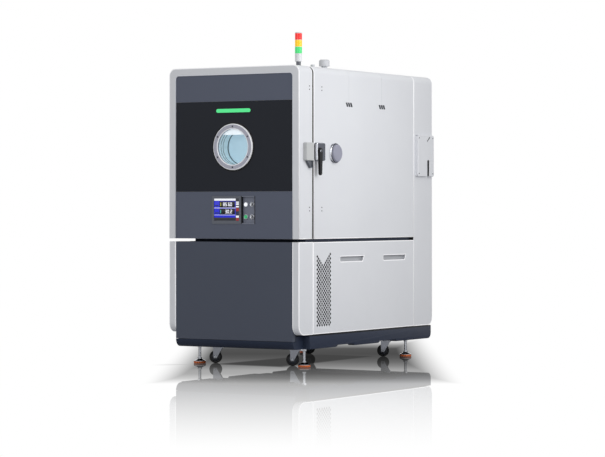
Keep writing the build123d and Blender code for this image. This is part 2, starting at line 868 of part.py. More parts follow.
def door_gasket():
    """Silicone seal that fills the gap between the door and the cabinet, with a hollow nose."""
    inset, width, lip = 12, 46, 14
    start, end = door_depth, shell_at - fit_gap
    inside = inset + width
    ring = through_y(arch(inset, door_bottom + inset), start, end)
    window = rect(-half + inside, half - inside, door_bottom + inside, body_top - inside, 10)
    ring -= through_y(window, start - 1, end + 1)
    groove = arch(inset + lip, door_bottom + inset + lip)
    inside -= lip
    groove -= rect(-half + inside, half - inside, door_bottom + inside, body_top - inside, 20)
    return ring - through_y(groove, start + 8, end + 1)


def viewport_frame():
    """Screwed ring on the door face and the tunnel behind it, turned as one piece."""
    face = face_recess
    proud = face + front_proud
    inner, outer = pane_radius, pane_radius + ring_width
    bevel = 4
    profile = (
        (inner, face - proud + 2), (inner + 2, face - proud), (outer - bevel, face - proud),
        (outer, face - proud + bevel), (outer, face), (inner + tunnel_wall, face),
        (inner + tunnel_wall, shell_at + plug_reach), (inner, shell_at + plug_reach))
    return turned_y(profile, 0, port_height)


def viewport_glass():
    """Three panes of the heated window."""
    radius = pane_radius - fit_gap / 3
    spots = (face_recess, face_recess + 60, shell_at + plug_reach - pane - 2)
    return Compound([viewport_bore(radius, spot, spot + pane) for spot in spots])


def viewport_lamp():
    """Tube lamp at the top of the window tunnel, that lights the test space."""
    lamp_z = port_height + pane_radius - lamp_inset
    reach, tube, depth, clip = 55, 7, 120, 4
    holder_top = port_height + (pane_radius ** 2 - reach ** 2) ** 0.5 - fit_gap
    lamp = rod_x(tube, -reach, reach, depth, lamp_z)
    for x in (-reach + clip, reach - clip):
        lamp += block(x - clip, x + clip, depth - 6, depth + 6, lamp_z, holder_top)
    return lamp


def light_bar():
    """Status light with round ends above the window."""
    outline = Pos(0, light_bar_height) * SlotOverall(light_bar_length, light_bar_width)
    return through_y(outline, face_recess - 3, face_recess)


def hmi_bezel():
    """Moulded bezel of the touch screen with its housing in the door."""
    proud = 3
    frame = through_y(
        rect(screen_left, controls_left, screen_bottom, screen_top, 5), face_recess - proud,
        face_recess + housing_depth)
    return frame - through_y(screen_outline(bezel), face_recess - proud - 1, face_recess + screen_seat)


def screen_outline(edge):
    """The bezel's window, inset from its outside, with a broader foot."""
    return rect(screen_left + edge, controls_left - edge, screen_bottom + edge + 4, screen_top - edge, 2)


def hmi_screen():
    """Touch screen behind the bezel."""
    return through_y(screen_outline(bezel + 0.2), face_recess, face_recess + screen_seat)


def control_panel():
    """Recessed steel pan beside the screen, with a collar round each control."""
    start = face_recess - 1
    floor = face_recess + control_recess
    rim, collar, seat = 4, control_radius + 5, 14
    pan = through_y(
        rect(controls_left, controls_right, screen_bottom, screen_top), start, face_recess + housing_depth)
    well = rect(controls_left + rim, controls_right - rim, screen_bottom + rim, screen_top - rim)
    pan -= through_y(well, start - 1, floor)
    for x in control_columns:
        for z in control_rows:
            pan += rod_y(collar, floor - 3, floor + 1, x, z)
            pan -= rod_y(control_radius, floor - 4, floor + seat, x, z)
    return pan


def push_button(row):
    """Round push button with a bevelled cap."""
    floor = face_recess + control_recess
    x, z = control_columns[0], control_rows[row]
    cap = rod_y(control_radius - fit_gap, floor - 9, floor + 8, x, z)
    return chamfer(cap.edges().filter_by(GeomType.CIRCLE).sort_by(Axis.Y)[0], 2)


def selector(row):
    """Rotary selector with a raised grip across it."""
    floor = face_recess + control_recess
    x, z = control_columns[1], control_rows[row]
    knob = rod_y(control_radius - fit_gap, floor - 6, floor + 13.7, x, z)
    grip = through_y(Pos(x, z) * RectangleRounded(6, 21, 2.5), floor - 15, floor - 5)
    return knob + grip


def spin(shape, x, depth, angle):
    """Turn a piece about an upright axis."""
    return Pos(x, at(depth), 0) * Rot(0, 0, angle) * Pos(-x, -at(depth), 0) * shape


def castor_fork(side, row):
    """Pressed fork with its kingpin and axle."""
    x, depth = side * (half - castor_inset), castor_rows[row]
    axle_x = x + castor_trail
    crown = plinth_bottom - castor_plate_thick - fit_gap
    race, race_height, yoke = 28, 8, 6
    cheek, thick = wheel_width / 2 + 2, 3
    outer = cheek + thick
    fork = rod_z(axle_radius, crown - 4, plinth_bottom + 8, x, depth)
    fork += rod_z(race, crown - race_height, crown, x, depth)
    yoke_top = crown - race_height
    fork += block(x - 22, axle_x + 16, depth - outer, depth + outer, yoke_top - yoke, yoke_top)
    leg = polygon(
        (x - 20, yoke_top - 1), (axle_x - 12, wheel_radius), (axle_x - 9, wheel_radius - 9),
        (axle_x + 9, wheel_radius - 9), (axle_x + 12, wheel_radius), (axle_x + 14, yoke_top - 1))
    for cheek_side in (-1, 1):
        fork += through_y(leg, depth + cheek_side * cheek, depth + cheek_side * outer)
    fork += rod_y(axle_radius, depth - outer - 3, depth + outer + 3, axle_x, wheel_radius)
    return spin(fork, x, depth, castor_turn)


def castor_wheel(side, row):
    """Rubber-tyred wheel with a bevelled tread and a recess round its hub on either face."""
    x, depth = side * (half - castor_inset), castor_rows[row]
    axle_x = x + castor_trail
    bore, hub, rim = axle_radius + run_gap, 13, 26
    dish, bevel = 3, 4
    face = wheel_width / 2
    near_side = (
        (bore, -face), (hub, -face), (hub, dish - face), (rim, dish - face), (rim, -face),
        (wheel_radius - bevel, -face), (wheel_radius, bevel - face))
    profile = [(radius, depth + along) for radius, along in near_side]
    profile += [(radius, depth - along) for radius, along in reversed(near_side)]
    return spin(turned_y(profile, axle_x, wheel_radius), x, depth, castor_turn)


def levelling_foot(side, row):
    """Threaded stem, lock nut and cup on a rubber pad."""
    x, depth = side * (half - foot_inset), foot_rows[row]
    pad_height, cup_side, dome, collar, collar_top = 8, 15, 27, 13, 36
    stem_top = side_bottom - 20
    stem = turned_z(
        ((0, pad_height), (cup_radius, pad_height), (cup_radius, cup_side), (collar, dome),
         (collar, collar_top), (stem_radius, collar_top), (stem_radius, stem_top), (0, stem_top)), x, depth)
    nut = through_z(Pos(x, depth) * RegularPolygon(14, 6), plinth_bottom - 14, plinth_bottom - fit_gap)
    pad = rod_z(cup_radius - 1.5, 0, pad_height, x, depth)
    return Compound([stem + nut, pad])


save(base_plinth(), "base_plinth")
save(machine_frame(), "machine_frame")
save(lower_front_panel(), "lower_front_panel")
save(front_pillars(), "front_pillars")
save(cabinet_shell(), "cabinet_shell")
save(cabinet_insulation(), "cabinet_insulation")
save(inner_liner(), "inner_liner")
save(rear_column(), "rear_column")
save(rear_panel(), "rear_panel")
save(service_cover(), "service_cover")
save(port_tube(), "port_tube")
save(cable_plug(), "cable_plug")
save(latch_housing(), "latch_housing")
save(latch_lever(), "latch_lever")
save(latch_keeper(), "latch_keeper")
save(hinge_part(False), "hinge_knuckles")
save(hinge_part(True), "hinge_leaves")
save(signal_base(), "signal_base")
save(signal_lenses(), "signal_lenses")
save(top_fittings(), "top_fittings")
save(air_baffle(), "air_baffle")
save(evaporator(), "evaporator")
save(heater(), "heater")
save(circulation_fan(), "circulation_fan")
save(fan_motor(), "fan_motor")
save(shelves(), "shelves")
save(compressors(), "compressors")
save(condenser(), "condenser")
save(condenser_fan(), "condenser_fan")
save(door_shell(), "door_shell")
save(door_face_panels(), "door_face_panels")
save(door_glass_band(), "door_glass_band")
save(door_insulation(), "door_insulation")
save(door_liner(), "door_liner")
save(door_gasket(), "door_gasket")
save(viewport_frame(), "viewport_frame")
save(viewport_glass(), "viewport_glass")
save(viewport_lamp(), "viewport_lamp")
save(light_bar(), "light_bar")
save(hmi_bezel(), "hmi_bezel")
save(hmi_screen(), "hmi_screen")
save(control_panel(), "control_panel")
save(push_button(0), "start_button")
save(push_button(1), "lamp_button")
save(selector(0), "lower_selector")
save(selector(1), "upper_selector")
for side, hand in ((-1, "left"), (1, "right")):
    save(access_panel(side), f"access_panel_{hand}")
    for row, end in enumerate(("front", "rear")):
        save(castor_fork(side, row), f"castor_fork_{end}_{hand}")
        save(castor_wheel(side, row), f"castor_wheel_{end}_{hand}")
        save(levelling_foot(side, row), f"levelling_foot_{end}_{hand}")
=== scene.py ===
import math

import bmesh
import bpy
import numpy as np
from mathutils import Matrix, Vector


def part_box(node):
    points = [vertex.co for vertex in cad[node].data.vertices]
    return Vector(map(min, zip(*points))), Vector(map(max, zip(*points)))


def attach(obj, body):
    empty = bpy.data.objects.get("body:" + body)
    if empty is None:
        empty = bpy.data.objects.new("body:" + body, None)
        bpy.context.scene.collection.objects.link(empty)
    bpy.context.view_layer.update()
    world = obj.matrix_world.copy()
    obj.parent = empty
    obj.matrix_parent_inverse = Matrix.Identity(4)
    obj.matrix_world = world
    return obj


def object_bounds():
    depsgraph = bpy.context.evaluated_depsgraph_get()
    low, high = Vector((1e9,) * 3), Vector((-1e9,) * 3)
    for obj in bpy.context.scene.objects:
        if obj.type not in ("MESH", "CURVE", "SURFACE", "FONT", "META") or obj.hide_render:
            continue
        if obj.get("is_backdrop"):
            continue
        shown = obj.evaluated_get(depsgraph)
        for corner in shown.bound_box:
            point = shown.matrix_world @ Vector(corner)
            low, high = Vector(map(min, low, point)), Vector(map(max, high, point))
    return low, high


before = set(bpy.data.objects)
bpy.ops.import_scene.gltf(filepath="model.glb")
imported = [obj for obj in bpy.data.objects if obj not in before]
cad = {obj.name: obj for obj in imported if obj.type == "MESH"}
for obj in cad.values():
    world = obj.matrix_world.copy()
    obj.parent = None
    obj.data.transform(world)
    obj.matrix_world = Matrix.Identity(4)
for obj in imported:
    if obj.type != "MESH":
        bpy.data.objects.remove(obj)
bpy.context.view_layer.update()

# Camera. It stands to the right of the door at half the chamber's height and looks level, so that
# uprights stay upright. The shift puts the chamber left of and below the picture's middle.
PHOTO_WIDTH = 605
FOCAL_PIXELS = 2438
CAMERA_YAW = math.radians(30.82)
CAMERA_HEIGHT = 0.9185
CORNER_DISTANCE = 13.988
CORNER_OFFSET = 0.1334
SENSOR_WIDTH = 36
SHIFT_ACROSS, SHIFT_UP = -0.0327, -0.0316

forward = np.array([-math.sin(CAMERA_YAW), math.cos(CAMERA_YAW), 0.0])
sideways = np.array([math.cos(CAMERA_YAW), math.sin(CAMERA_YAW), 0.0])
door_low, door_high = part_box("door_shell")
near_corner = np.array([door_high.x, door_low.y, 0.0])
stand = near_corner - forward * CORNER_DISTANCE + sideways * CORNER_OFFSET
camera = bpy.data.objects.new("camera", bpy.data.cameras.new("camera"))
camera.location = (stand[0], stand[1], CAMERA_HEIGHT)
camera.rotation_euler = (math.pi / 2, 0, CAMERA_YAW)
camera.data.sensor_width = SENSOR_WIDTH
camera.data.lens = FOCAL_PIXELS / PHOTO_WIDTH * SENSOR_WIDTH
camera.data.shift_x = SHIFT_ACROSS
camera.data.shift_y = SHIFT_UP
camera.data.clip_end = 60
bpy.context.scene.collection.objects.link(camera)
bpy.context.scene.camera = camera
bpy.context.scene.view_settings.view_transform = "Standard"


# Base: a welded plinth of folded steel, powder-coated dark slate, with the frame of the machine space
# bolted on top of it. The frame shows only as the shadow gap under the chamber.
def node(tree, kind, *feeds, **settings):
    """New node in a tree. Each feed is an input, by name or number, and what goes into it: a plain
    value or another node's output."""
    made = tree.nodes.new(kind)
    for key, value in settings.items():
        setattr(made, key, value)
    for socket, feed in feeds:
        if isinstance(feed, bpy.types.NodeSocket):
            tree.links.new(feed, made.inputs[socket])
        else:
            made.inputs[socket].default_value = feed
    return made


def ramp(tree, feed, stops, interpolation="LINEAR"):
    """Colour ramp through stops, each a share from 0 to 1 and its colour, in rising order."""
    made = node(tree, "ShaderNodeValToRGB", (0, feed))
    band = made.color_ramp
    band.interpolation = interpolation
    band.elements.remove(band.elements[1])
    band.elements[0].color = stops[0][1]
    for share, shade in stops[1:]:
        band.elements.new(share).color = shade
    return made.outputs[0]


def grain_group():
    """Powder-coat grain: fine noise raises the normal, broad noise shifts roughness and colour."""
    tree = bpy.data.node_groups.new("coat_grain", "ShaderNodeTree")
    for name, value in (("Scale", 700.0), ("Depth", 0.1), ("Roughness", 0.4), ("Spread", 0.06)):
        socket = tree.interface.new_socket(name, in_out="INPUT", socket_type="NodeSocketFloat")
        socket.default_value = value
    for name, kind in (("Roughness", "Float"), ("Cloud", "Float"), ("Normal", "Vector")):
        tree.interface.new_socket(name, in_out="OUTPUT", socket_type=f"NodeSocket{kind}")
    given = tree.nodes.new("NodeGroupInput").outputs
    place = node(tree, "ShaderNodeTexCoord").outputs["Object"]
    fine = node(tree, "ShaderNodeTexNoise", ("Vector", place), ("Scale", given["Scale"])).outputs["Fac"]
    broad = node(tree, "ShaderNodeTexNoise", ("Vector", place), ("Scale", 3)).outputs["Fac"]
    bump = node(tree, "ShaderNodeBump", ("Distance", 0.0004), ("Strength", given["Depth"]), ("Height", fine))
    centred = node(tree, "ShaderNodeMath", (0, broad), (1, 0.5), operation="SUBTRACT").outputs[0]
    shift = node(tree, "ShaderNodeMath", (0, centred), (1, given["Spread"]), (2, given["Roughness"]),
                 operation="MULTIPLY_ADD")
    node(tree, "NodeGroupOutput", ("Roughness", shift.outputs[0]), ("Cloud", broad),
         ("Normal", bump.outputs["Normal"]))
    return tree


coat_grain = grain_group()


def srgb(red, green, blue):
    """Linear colour of a screen colour from 0 to 255, by the usual power curve of 2.2."""
    return tuple((channel / 255) ** 2.2 for channel in (red, green, blue)) + (1.0,)


def coated(name, colour, roughness=0.4, depth=0.1, scale=700, metallic=0.0, coat=0.0, specular=0.5,
           spread=0.06, glow=0.0, levels=None, axis="Z", rim=None):
    """Material with the shared grain, whose colour varies by a few percent. Colours are screen colours
    from 0 to 255. With levels, a list of (coordinate, colour) pairs in rising order, each colour starts
    at its coordinate along the axis.
    With rim, a polished metal turns to that darker colour where it is seen at a slant: a painted reflection."""
    material = bpy.data.materials.new(name)
    material.use_nodes = True
    tree = material.node_tree
    colour = srgb(*colour)
    grain = node(tree, "ShaderNodeGroup", ("Scale", scale), ("Depth", depth), ("Roughness", roughness),
                 ("Spread", spread), node_tree=coat_grain).outputs
    paint = colour
    if levels:
        start, end = levels[0][0] - 0.001, levels[-1][0] + 0.001
        stops = [(0.0, colour)] + [((level - start) / (end - start), srgb(*shade)) for level, shade in levels]
        place = node(tree, "ShaderNodeTexCoord").outputs["Object"]
        along = node(tree, "ShaderNodeSeparateXYZ", (0, place)).outputs[axis]
        span = node(tree, "ShaderNodeMapRange", ("Value", along), ("From Min", start), ("From Max", end))
        paint = ramp(tree, span.outputs[0], stops, "CONSTANT")
    # Painted reflection: the colour darkens where the surface is seen at a slant.
    if rim:
        dark = srgb(*rim)
        slant = node(tree, "ShaderNodeLayerWeight", ("Blend", 0.5)).outputs["Facing"]
        paint = ramp(tree, slant, [(0.0, colour), (0.22, colour), (0.42, dark), (0.60, dark), (0.80, colour)])
    tint = node(tree, "ShaderNodeMix", (0, grain["Cloud"]), (6, paint), (7, (0.93, 0.93, 0.94, 1.0)),
                data_type="RGBA", blend_type="MULTIPLY").outputs[2]
    shader = tree.nodes["Principled BSDF"]
    links = [("Base Color", tint), ("Roughness", grain["Roughness"]), ("Normal", grain["Normal"])]
    for socket, output in links + [("Emission Color", tint)] * bool(glow):
        tree.links.new(output, shader.inputs[socket])
    for socket, value in (("Emission Strength", glow), ("Metallic", metallic), ("Coat Weight", coat),
                          ("Specular IOR Level", specular)):
        shader.inputs[socket].default_value = value
    return material


def dress(material, *names):
    """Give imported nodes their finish."""
    for name in names:
        cad[name].data.materials.clear()
        cad[name].data.materials.append(material)


# The plinth paint turns near black above z 0.1835, on the plinth and its skirts: a painted shadow under the
# side covers' lips.
plinth_paint = coated("plinth_paint", (46, 53, 69), 0.45, 0.1, specular=0.15,
                      levels=[(0.1835, (16, 18, 24))])
dress(plinth_paint, "base_plinth")
dress(coated("frame_paint", (46, 53, 69), 0.45, 0.1, specular=0.15), "machine_frame")


# Bolts and screws. A turned head with a hexagon socket, or a plain hexagon head, set in rows on the
# piece that it holds. Zinc-plated or black steel.
def surface(name, grid, around=True, along=False, caps=False, crease=35):
    """Mesh through a grid of points, rows by columns, or through several such grids at once.
    Neighbouring points become the corners of quads; around joins the last column to the first, along
    the last row to the first, and caps closes the first and last rows. Points that meet are merged,
    so poles and seams close, and edges sharper than the crease angle in degrees stay sharp."""
    grids = grid if grid.ndim == 4 else grid[None]
    count, rows, columns, _ = grids.shape
    i = np.arange(rows if along else rows - 1)[None, :, None]
    j = np.arange(columns if around else columns - 1)[None, None, :]
    base = np.arange(count)[:, None, None] * rows * columns
    i_next, j_next = (i + 1) % rows, (j + 1) % columns
    quads = np.stack([base + i * columns + j, base + i * columns + j_next,
                      base + i_next * columns + j_next, base + i_next * columns + j], axis=-1)
    faces = quads.reshape(-1, 4).tolist()
    if caps:
        ring = np.arange(columns)
        first = base.reshape(-1, 1) + ring
        faces += first[:, ::-1].tolist() + (first + (rows - 1) * columns).tolist()
    mesh = bpy.data.meshes.new(name)
    mesh.from_pydata(grids.reshape(-1, 3).tolist(), [], faces)
    work = bmesh.new()
    work.from_mesh(mesh)
    bmesh.ops.remove_doubles(work, verts=work.verts, dist=2e-6)
    bmesh.ops.recalc_face_normals(work, faces=work.faces)
    work.to_mesh(mesh)
    work.free()
    mesh.polygons.foreach_set("use_smooth", np.ones(len(mesh.polygons), bool))
    mesh.set_sharp_from_angle(angle=math.radians(crease))
    piece = bpy.data.objects.new(name, mesh)
    bpy.context.scene.collection.objects.link(piece)
    return piece


def finish_piece(piece, material, body):
    """Give a new piece its finish and the body that it moves with."""
    piece.data.materials.append(material)
    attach(piece, body)
    return piece


AXES = {"+x": ((0, 1, 0), (0, 0, 1), (1, 0, 0)), "-x": ((0, -1, 0), (0, 0, 1), (-1, 0, 0)),
        "+y": ((-1, 0, 0), (0, 0, 1), (0, 1, 0)), "-y": ((1, 0, 0), (0, 0, 1), (0, -1, 0)),
        "+z": ((1, 0, 0), (0, 1, 0), (0, 0, 1)), "-z": ((1, 0, 0), (0, -1, 0), (0, 0, -1))}


def turned(name, outline, places, axis, material, body, sides=24, crease=35, facets=0):
    """Turned pieces: each point of the outline, a radius and a height, goes round the axis at every
    place. Point = place + radius (cos t across + sin t up) + height outwards. With facets, a radius
    given as negative is the flat-sided one: it is divided by the cosine of the angle from the middle
    of its flat, which makes a regular polygon."""
    across, up, outward = (np.array(v, float) for v in AXES[axis])
    outline = np.array(outline, float)
    t = np.arange(sides) * 2 * math.pi / sides
    radius = np.repeat(np.abs(outline[:, :1]), sides, axis=1)
    if facets:
        step = 2 * math.pi / facets
        flat = math.cos(step / 2) / np.cos((t % step) - step / 2)
        radius = np.where(outline[:, :1] < 0, radius * flat[None, :], radius)
    ring = np.cos(t)[:, None] * across + np.sin(t)[:, None] * up
    shape = radius[:, :, None] * ring[None] + outline[:, 1][:, None, None] * outward
    grids = np.array(places, float)[:, None, None, :] + shape[None]
    return finish_piece(surface(name, grids, crease=crease), material, body)


def socket_screws(name, places, axis, radius, material, body):
    """Button-head screws: a dome of the given radius with a hexagon socket sunk in its top."""
    r = radius
    outline = [(0, -0.3 * r), (r, -0.3 * r), (r, 0.12 * r), (0.86 * r, 0.4 * r), (0.62 * r, 0.52 * r),
               (-0.48 * r, 0.52 * r), (-0.46 * r, 0.1 * r), (0, 0.1 * r)]
    return turned(name, outline, places, axis, material, body, facets=6)


def hexagon_nuts(name, places, axis, radius, height, material, body):
    """Hexagon heads with a chamfered crown and the thread's end showing in the middle."""
    r, h = radius, height
    outline = [(0, -0.1 * h), (-r, -0.1 * h), (-r, 0.8 * h), (0.86 * r, h), (0.5 * r, h),
               (0.5 * r, 1.25 * h), (0.42 * r, 1.35 * h), (0, 1.35 * h)]
    return turned(name, outline, places, axis, material, body, facets=6)


def bare_metal(name, colour, roughness, depth=0.05):
    """Ground or plated metal: fully metallic, with a finer grain than paint."""
    return coated(name, colour, roughness, depth, 900, metallic=1.0)


zinc = bare_metal("zinc", (168, 172, 178), 0.3, 0.04)
dark_steel = coated("dark_steel", (52, 54, 60), 0.35, 0.05, 900, metallic=0.6)

CORNERS = ("front_left", "front_right", "rear_left", "rear_right")
PLINTH_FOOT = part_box("base_plinth")[0].z
CASTOR_ACROSS, CASTOR_ROWS, BOLT_SPREAD = 0.270, (-0.537, 0.545), 0.0325
plate_bolts = [(hand * CASTOR_ACROSS + dx, row + dy, PLINTH_FOOT) for hand in (-1, 1) for row in CASTOR_ROWS
               for dx in (-BOLT_SPREAD, BOLT_SPREAD) for dy in (-BOLT_SPREAD, BOLT_SPREAD)]
hexagon_nuts("castor_plate_bolts", plate_bolts, "-z", 0.0052, 0.0035, zinc, "cabinet")

# Side skirts: folded slate sheets screwed along both sides of the plinth, flush with the side covers,
# with the same two notches for a fork lift's tines.
SKIRT_FRONT, SKIRT_BACK, SKIRT_TOP = -0.685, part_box("base_plinth")[1].y, 0.1905
SKIRT_INNER, SKIRT_OUTER, SKIRT_RADIUS = 0.4052, 0.4482, 0.035
NOTCH = 0.011
NOTCHES = ((-0.381, -0.166), (0.125, 0.346))
SIDES = (("left", -1), ("right", 1))


def skirt_outline(inset):
    """Side view of a skirt, drawn in by an inset: a bar with a rounded lower back corner, out of whose
    foot each notch takes a flat-topped wedge."""
    foot, top = PLINTH_FOOT + 0.0045 + inset, SKIRT_TOP - inset
    points = [(SKIRT_FRONT + inset, top), (SKIRT_FRONT + inset, foot)]
    for start, end in NOTCHES:
        points += [(start - inset, foot), (start + NOTCH - inset, foot + NOTCH),
                   (end - NOTCH + inset, foot + NOTCH), (end + inset, foot)]
    t = np.linspace(-math.pi / 2, 0, 7)
    radius = SKIRT_RADIUS - inset
    arc = np.stack([SKIRT_BACK - SKIRT_RADIUS + radius * np.cos(t), foot + radius + radius * np.sin(t)], 1)
    return np.concatenate([np.array(points), arc, [(SKIRT_BACK - inset, top)]])


skirt_sections = ((SKIRT_INNER, 0.0), (SKIRT_OUTER - 0.003, 0.0), (SKIRT_OUTER - 0.0009, 0.0009),
                  (SKIRT_OUTER, 0.003))
for hand, sign in SIDES:
    rings = [np.insert(skirt_outline(inset), 0, sign * x, axis=1) for x, inset in skirt_sections]
    skirt = surface(f"plinth_skirt_{hand}", np.stack(rings), caps=True, crease=50)
    finish_piece(skirt, plinth_paint, "cabinet")


# Castors: chromed pressed forks with black rubber tyres on grey hubs. The hub caps are moulded and
# click over the axle's nuts, and turn with the wheel.
def chromed(name, colour, roughness, rim):
    """Polished chrome, smooth, turning to the rim's darker colour where it is seen at a slant: a
    painted reflection.
    """
    return coated(name, colour, roughness, 0.0, metallic=1.0, spread=0.03, rim=rim)


# Darker chrome for the castors than for the feet and the latch: painted shade under the chamber.
chrome = chromed("chrome", (160, 163, 170), 0.14, (60, 64, 73))
tyre_rubber = coated("tyre_rubber", (24, 26, 30), 0.5, 0.3, 500, specular=0.4)
hub_plastic = coated("hub_plastic", (46, 50, 58), 0.38, 0.1)
CASTOR_TURN = math.radians(205)
HUB_REACH, NUT_REACH = 0.0100, 0.0180
roll_way = (math.cos(CASTOR_TURN), math.sin(CASTOR_TURN), 0.0)
axle_way = np.array([-math.sin(CASTOR_TURN), math.cos(CASTOR_TURN), 0.0])
AXES["axle_near"] = (roll_way, (0, 0, 1), axle_way)
AXES["axle_far"] = (roll_way, (0, 0, 1), -axle_way)
for where in CORNERS:
    dress(chrome, f"castor_fork_{where}")
    dress(tyre_rubber, f"castor_wheel_{where}")
    wheel_low, wheel_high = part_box(f"castor_wheel_{where}")
    axle = np.array((wheel_low + wheel_high) / 2)
    for side, sign in (("near", 1), ("far", -1)):
        turned(f"castor_hub_{side}_{where}",
               [(0.0135, -0.001), (0.0255, -0.001), (0.0255, 0.0012), (0.0235, 0.0022), (0.0150, 0.0014),
                (0.0135, 0.0018), (0.0135, -0.001)],
               [axle + sign * HUB_REACH * axle_way], f"axle_{side}", hub_plastic, f"wheel_{where}", sides=36)
        hexagon_nuts(f"axle_nut_{side}_{where}", [axle + sign * NUT_REACH * axle_way], f"axle_{side}", 0.0088,
                     0.0035, zinc, f"castor_{where}")

# Levelling feet: plated stem, lock nut and cup on an orange rubber ring that stands on the floor. The
# stem is threaded and screws into the plinth, one foot beside each castor.
foot_plate = chromed("foot_plate", (214, 217, 222), 0.16, (70, 73, 82))
rubber_orange = coated("rubber_orange", (206, 104, 48), 0.5, 0.15, 400)
for where in CORNERS:
    name = f"levelling_foot_{where}"
    dress(foot_plate, name)
    low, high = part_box(name)
    centre = [((low.x + high.x) / 2, (low.y + high.y) / 2, 0.0)]
    turned(f"foot_ring_{where}",
           [(0.030, 0.0002), (0.0352, 0.0002), (0.0362, 0.0016), (0.0366, 0.0065), (0.0362, 0.0115),
            (0.0352, 0.0128), (0.030, 0.0128), (0.030, 0.0002)],
           centre, "+z", rubber_orange, f"foot_{where}", sides=48)
    thread = np.arange(0.045, 0.092, 0.003)
    ridges = [(0.0072, 0.044)] + [(r, z + dz) for z in thread for r, dz in ((0.0081, 0.0), (0.0088, 0.0015))]
    turned(f"foot_thread_{where}", ridges + [(0.0072, 0.093), (0.0072, 0.044)], centre, "+z", foot_plate,
           f"foot_{where}", sides=24, crease=70)

# Refrigeration set on the floor plate: black hermetic compressors, a finned condenser with its fan
# and the copper pipes that join them. Seen only with a side cover off.
dress(coated("compressor_black", (30, 32, 36), 0.35, 0.15, 300), "compressors")
dress(coated("aluminium_fins", (200, 202, 205), 0.35, 0.05, metallic=1.0),
      "condenser", "evaporator", "circulation_fan")
dress(coated("fan_black", (28, 29, 32), 0.45, 0.1), "condenser_fan")


def pipe(name, route, radius, material, body, bend=0.03, sides=14):
    """Bent tube: each corner of the route becomes a quarter of a circle in steps, and a ring of the
    given radius is carried along the line. Ring point = line point + radius (cos t n + sin t b), with
    n and b at right angles to the line and to a fixed slanting direction that no run follows."""
    route = np.array(route, float)
    line = [route[:1]]
    for before, corner, after in zip(route[:-2], route[1:-1], route[2:]):
        start = corner + (before - corner) / np.linalg.norm(before - corner) * bend
        end = corner + (after - corner) / np.linalg.norm(after - corner) * bend
        s = np.linspace(0, 1, 8)[:, None]
        line.append((1 - s) ** 2 * start + 2 * s * (1 - s) * corner + s ** 2 * end)
    line = np.concatenate(line + [route[-1:]])
    way = np.gradient(line, axis=0)
    way /= np.linalg.norm(way, axis=1)[:, None]
    n = np.cross(way, (0.31, 0.57, 0.76))
    n /= np.linalg.norm(n, axis=1)[:, None]
    b = np.cross(way, n)
    t = np.arange(sides) * 2 * math.pi / sides
    turn = np.cos(t)[None, :, None] * n[:, None] + np.sin(t)[None, :, None] * b[:, None]
    return finish_piece(surface(name, line[:, None] + radius * turn, caps=True), material, body)


copper = bare_metal("copper", (196, 118, 82), 0.28, 0.04)
MACHINE_LINE = (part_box("compressors")[0].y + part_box("compressors")[1].y) / 2
for hand, x, rise in (("left", -0.19, 0.56), ("right", 0.02, 0.60)):
    pipe(f"discharge_pipe_{hand}", [(x, MACHINE_LINE, 0.462), (x, MACHINE_LINE, rise), (x, 0.39, rise),
                                    (x, 0.39, 0.655), (x, 0.44, 0.655)], 0.007, copper, "cabinet")
pipe("liquid_pipe", [(0.22, MACHINE_LINE, 0.43), (0.22, MACHINE_LINE, 0.50), (0.22, 0.39, 0.50),
                     (0.22, 0.39, 0.21), (0.22, 0.44, 0.21)], 0.006, copper, "cabinet")

# Lower front panel: one folded slate sheet that closes the machine space, between two light corner
# pieces folded from sheet. Their rounded folds are thin strips in near-white paint with a slight glow:
# a painted highlight along each fold.
# The lower panel's slate is darker than the door's: painted shade low on the front.
dress(coated("slate_paint", (70, 76, 90), 0.4, 0.08, specular=0.4), "lower_front_panel")
light_paint = coated("light_paint", (222, 224, 228), 0.42, 0.06, specular=0.4)
dress(light_paint, "front_pillars")
# Near-white paint with a slight glow for the folded edges: a painted highlight on the folds.
edge_paint = coated("edge_paint", (250, 250, 252), 0.25, 0.02, specular=0.6, coat=0.3, glow=0.17)

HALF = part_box("cabinet_shell")[1].x
DOOR_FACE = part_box("door_shell")[0].y
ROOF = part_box("cabinet_shell")[1].z
ROOF_RADIUS = 0.042
EDGE_WIDTH, EDGE_LIFT = 0.0045, 0.00022


def rounded_path(corners, radii, closed=False, steps=9):
    """Points of a path round a polygon whose corners are arcs, and at each point the direction into
    the piece, on the left of the way along. Arc point = centre - radius (cos t a + sin t b). A corner
    with no radius keeps one point, whose direction is the mitre of the two sides."""
    corners = np.array(corners, float)
    count = len(corners)
    points, inward = [], []
    for k, radius in enumerate(radii):
        before, here, after = corners[k - 1], corners[k], corners[(k + 1) % count]
        d0 = (here - before) / np.linalg.norm(here - before)
        d1 = (after - here) / np.linalg.norm(after - here)
        n0, n1 = np.array([-d0[1], d0[0]]), np.array([-d1[1], d1[0]])
        if not closed and k in (0, count - 1):
            points.append(here[None])
            inward.append((n1 if k == 0 else n0)[None])
        elif not radius:
            points.append(here[None])
            inward.append(((n0 + n1) / (1 + np.dot(n0, n1)))[None])
        else:
            centre = here + radius * (n0 + n1) / (1 + np.dot(n0, n1))
            t = np.linspace(0, 1, steps)[:, None] * math.acos(np.clip(np.dot(n0, n1), -1, 1))
            sine = np.cross(n0, n1)
            side = (n1 - np.dot(n0, n1) * n0) / abs(sine)
            n = np.cos(t) * n0 + np.sin(t) * side
            points.append(centre - radius * n)
            inward.append(n)
    return np.concatenate(points), np.concatenate(inward)


def box_path(low_corner, high_corner, radii=(0, 0, 0, 0)):
    """Closed path round a rectangle, from the low corner along its foot."""
    (u0, v0), (u1, v1) = low_corner, high_corner
    return rounded_path([(u0, v0), (u1, v0), (u1, v1), (u0, v1)], radii, closed=True)


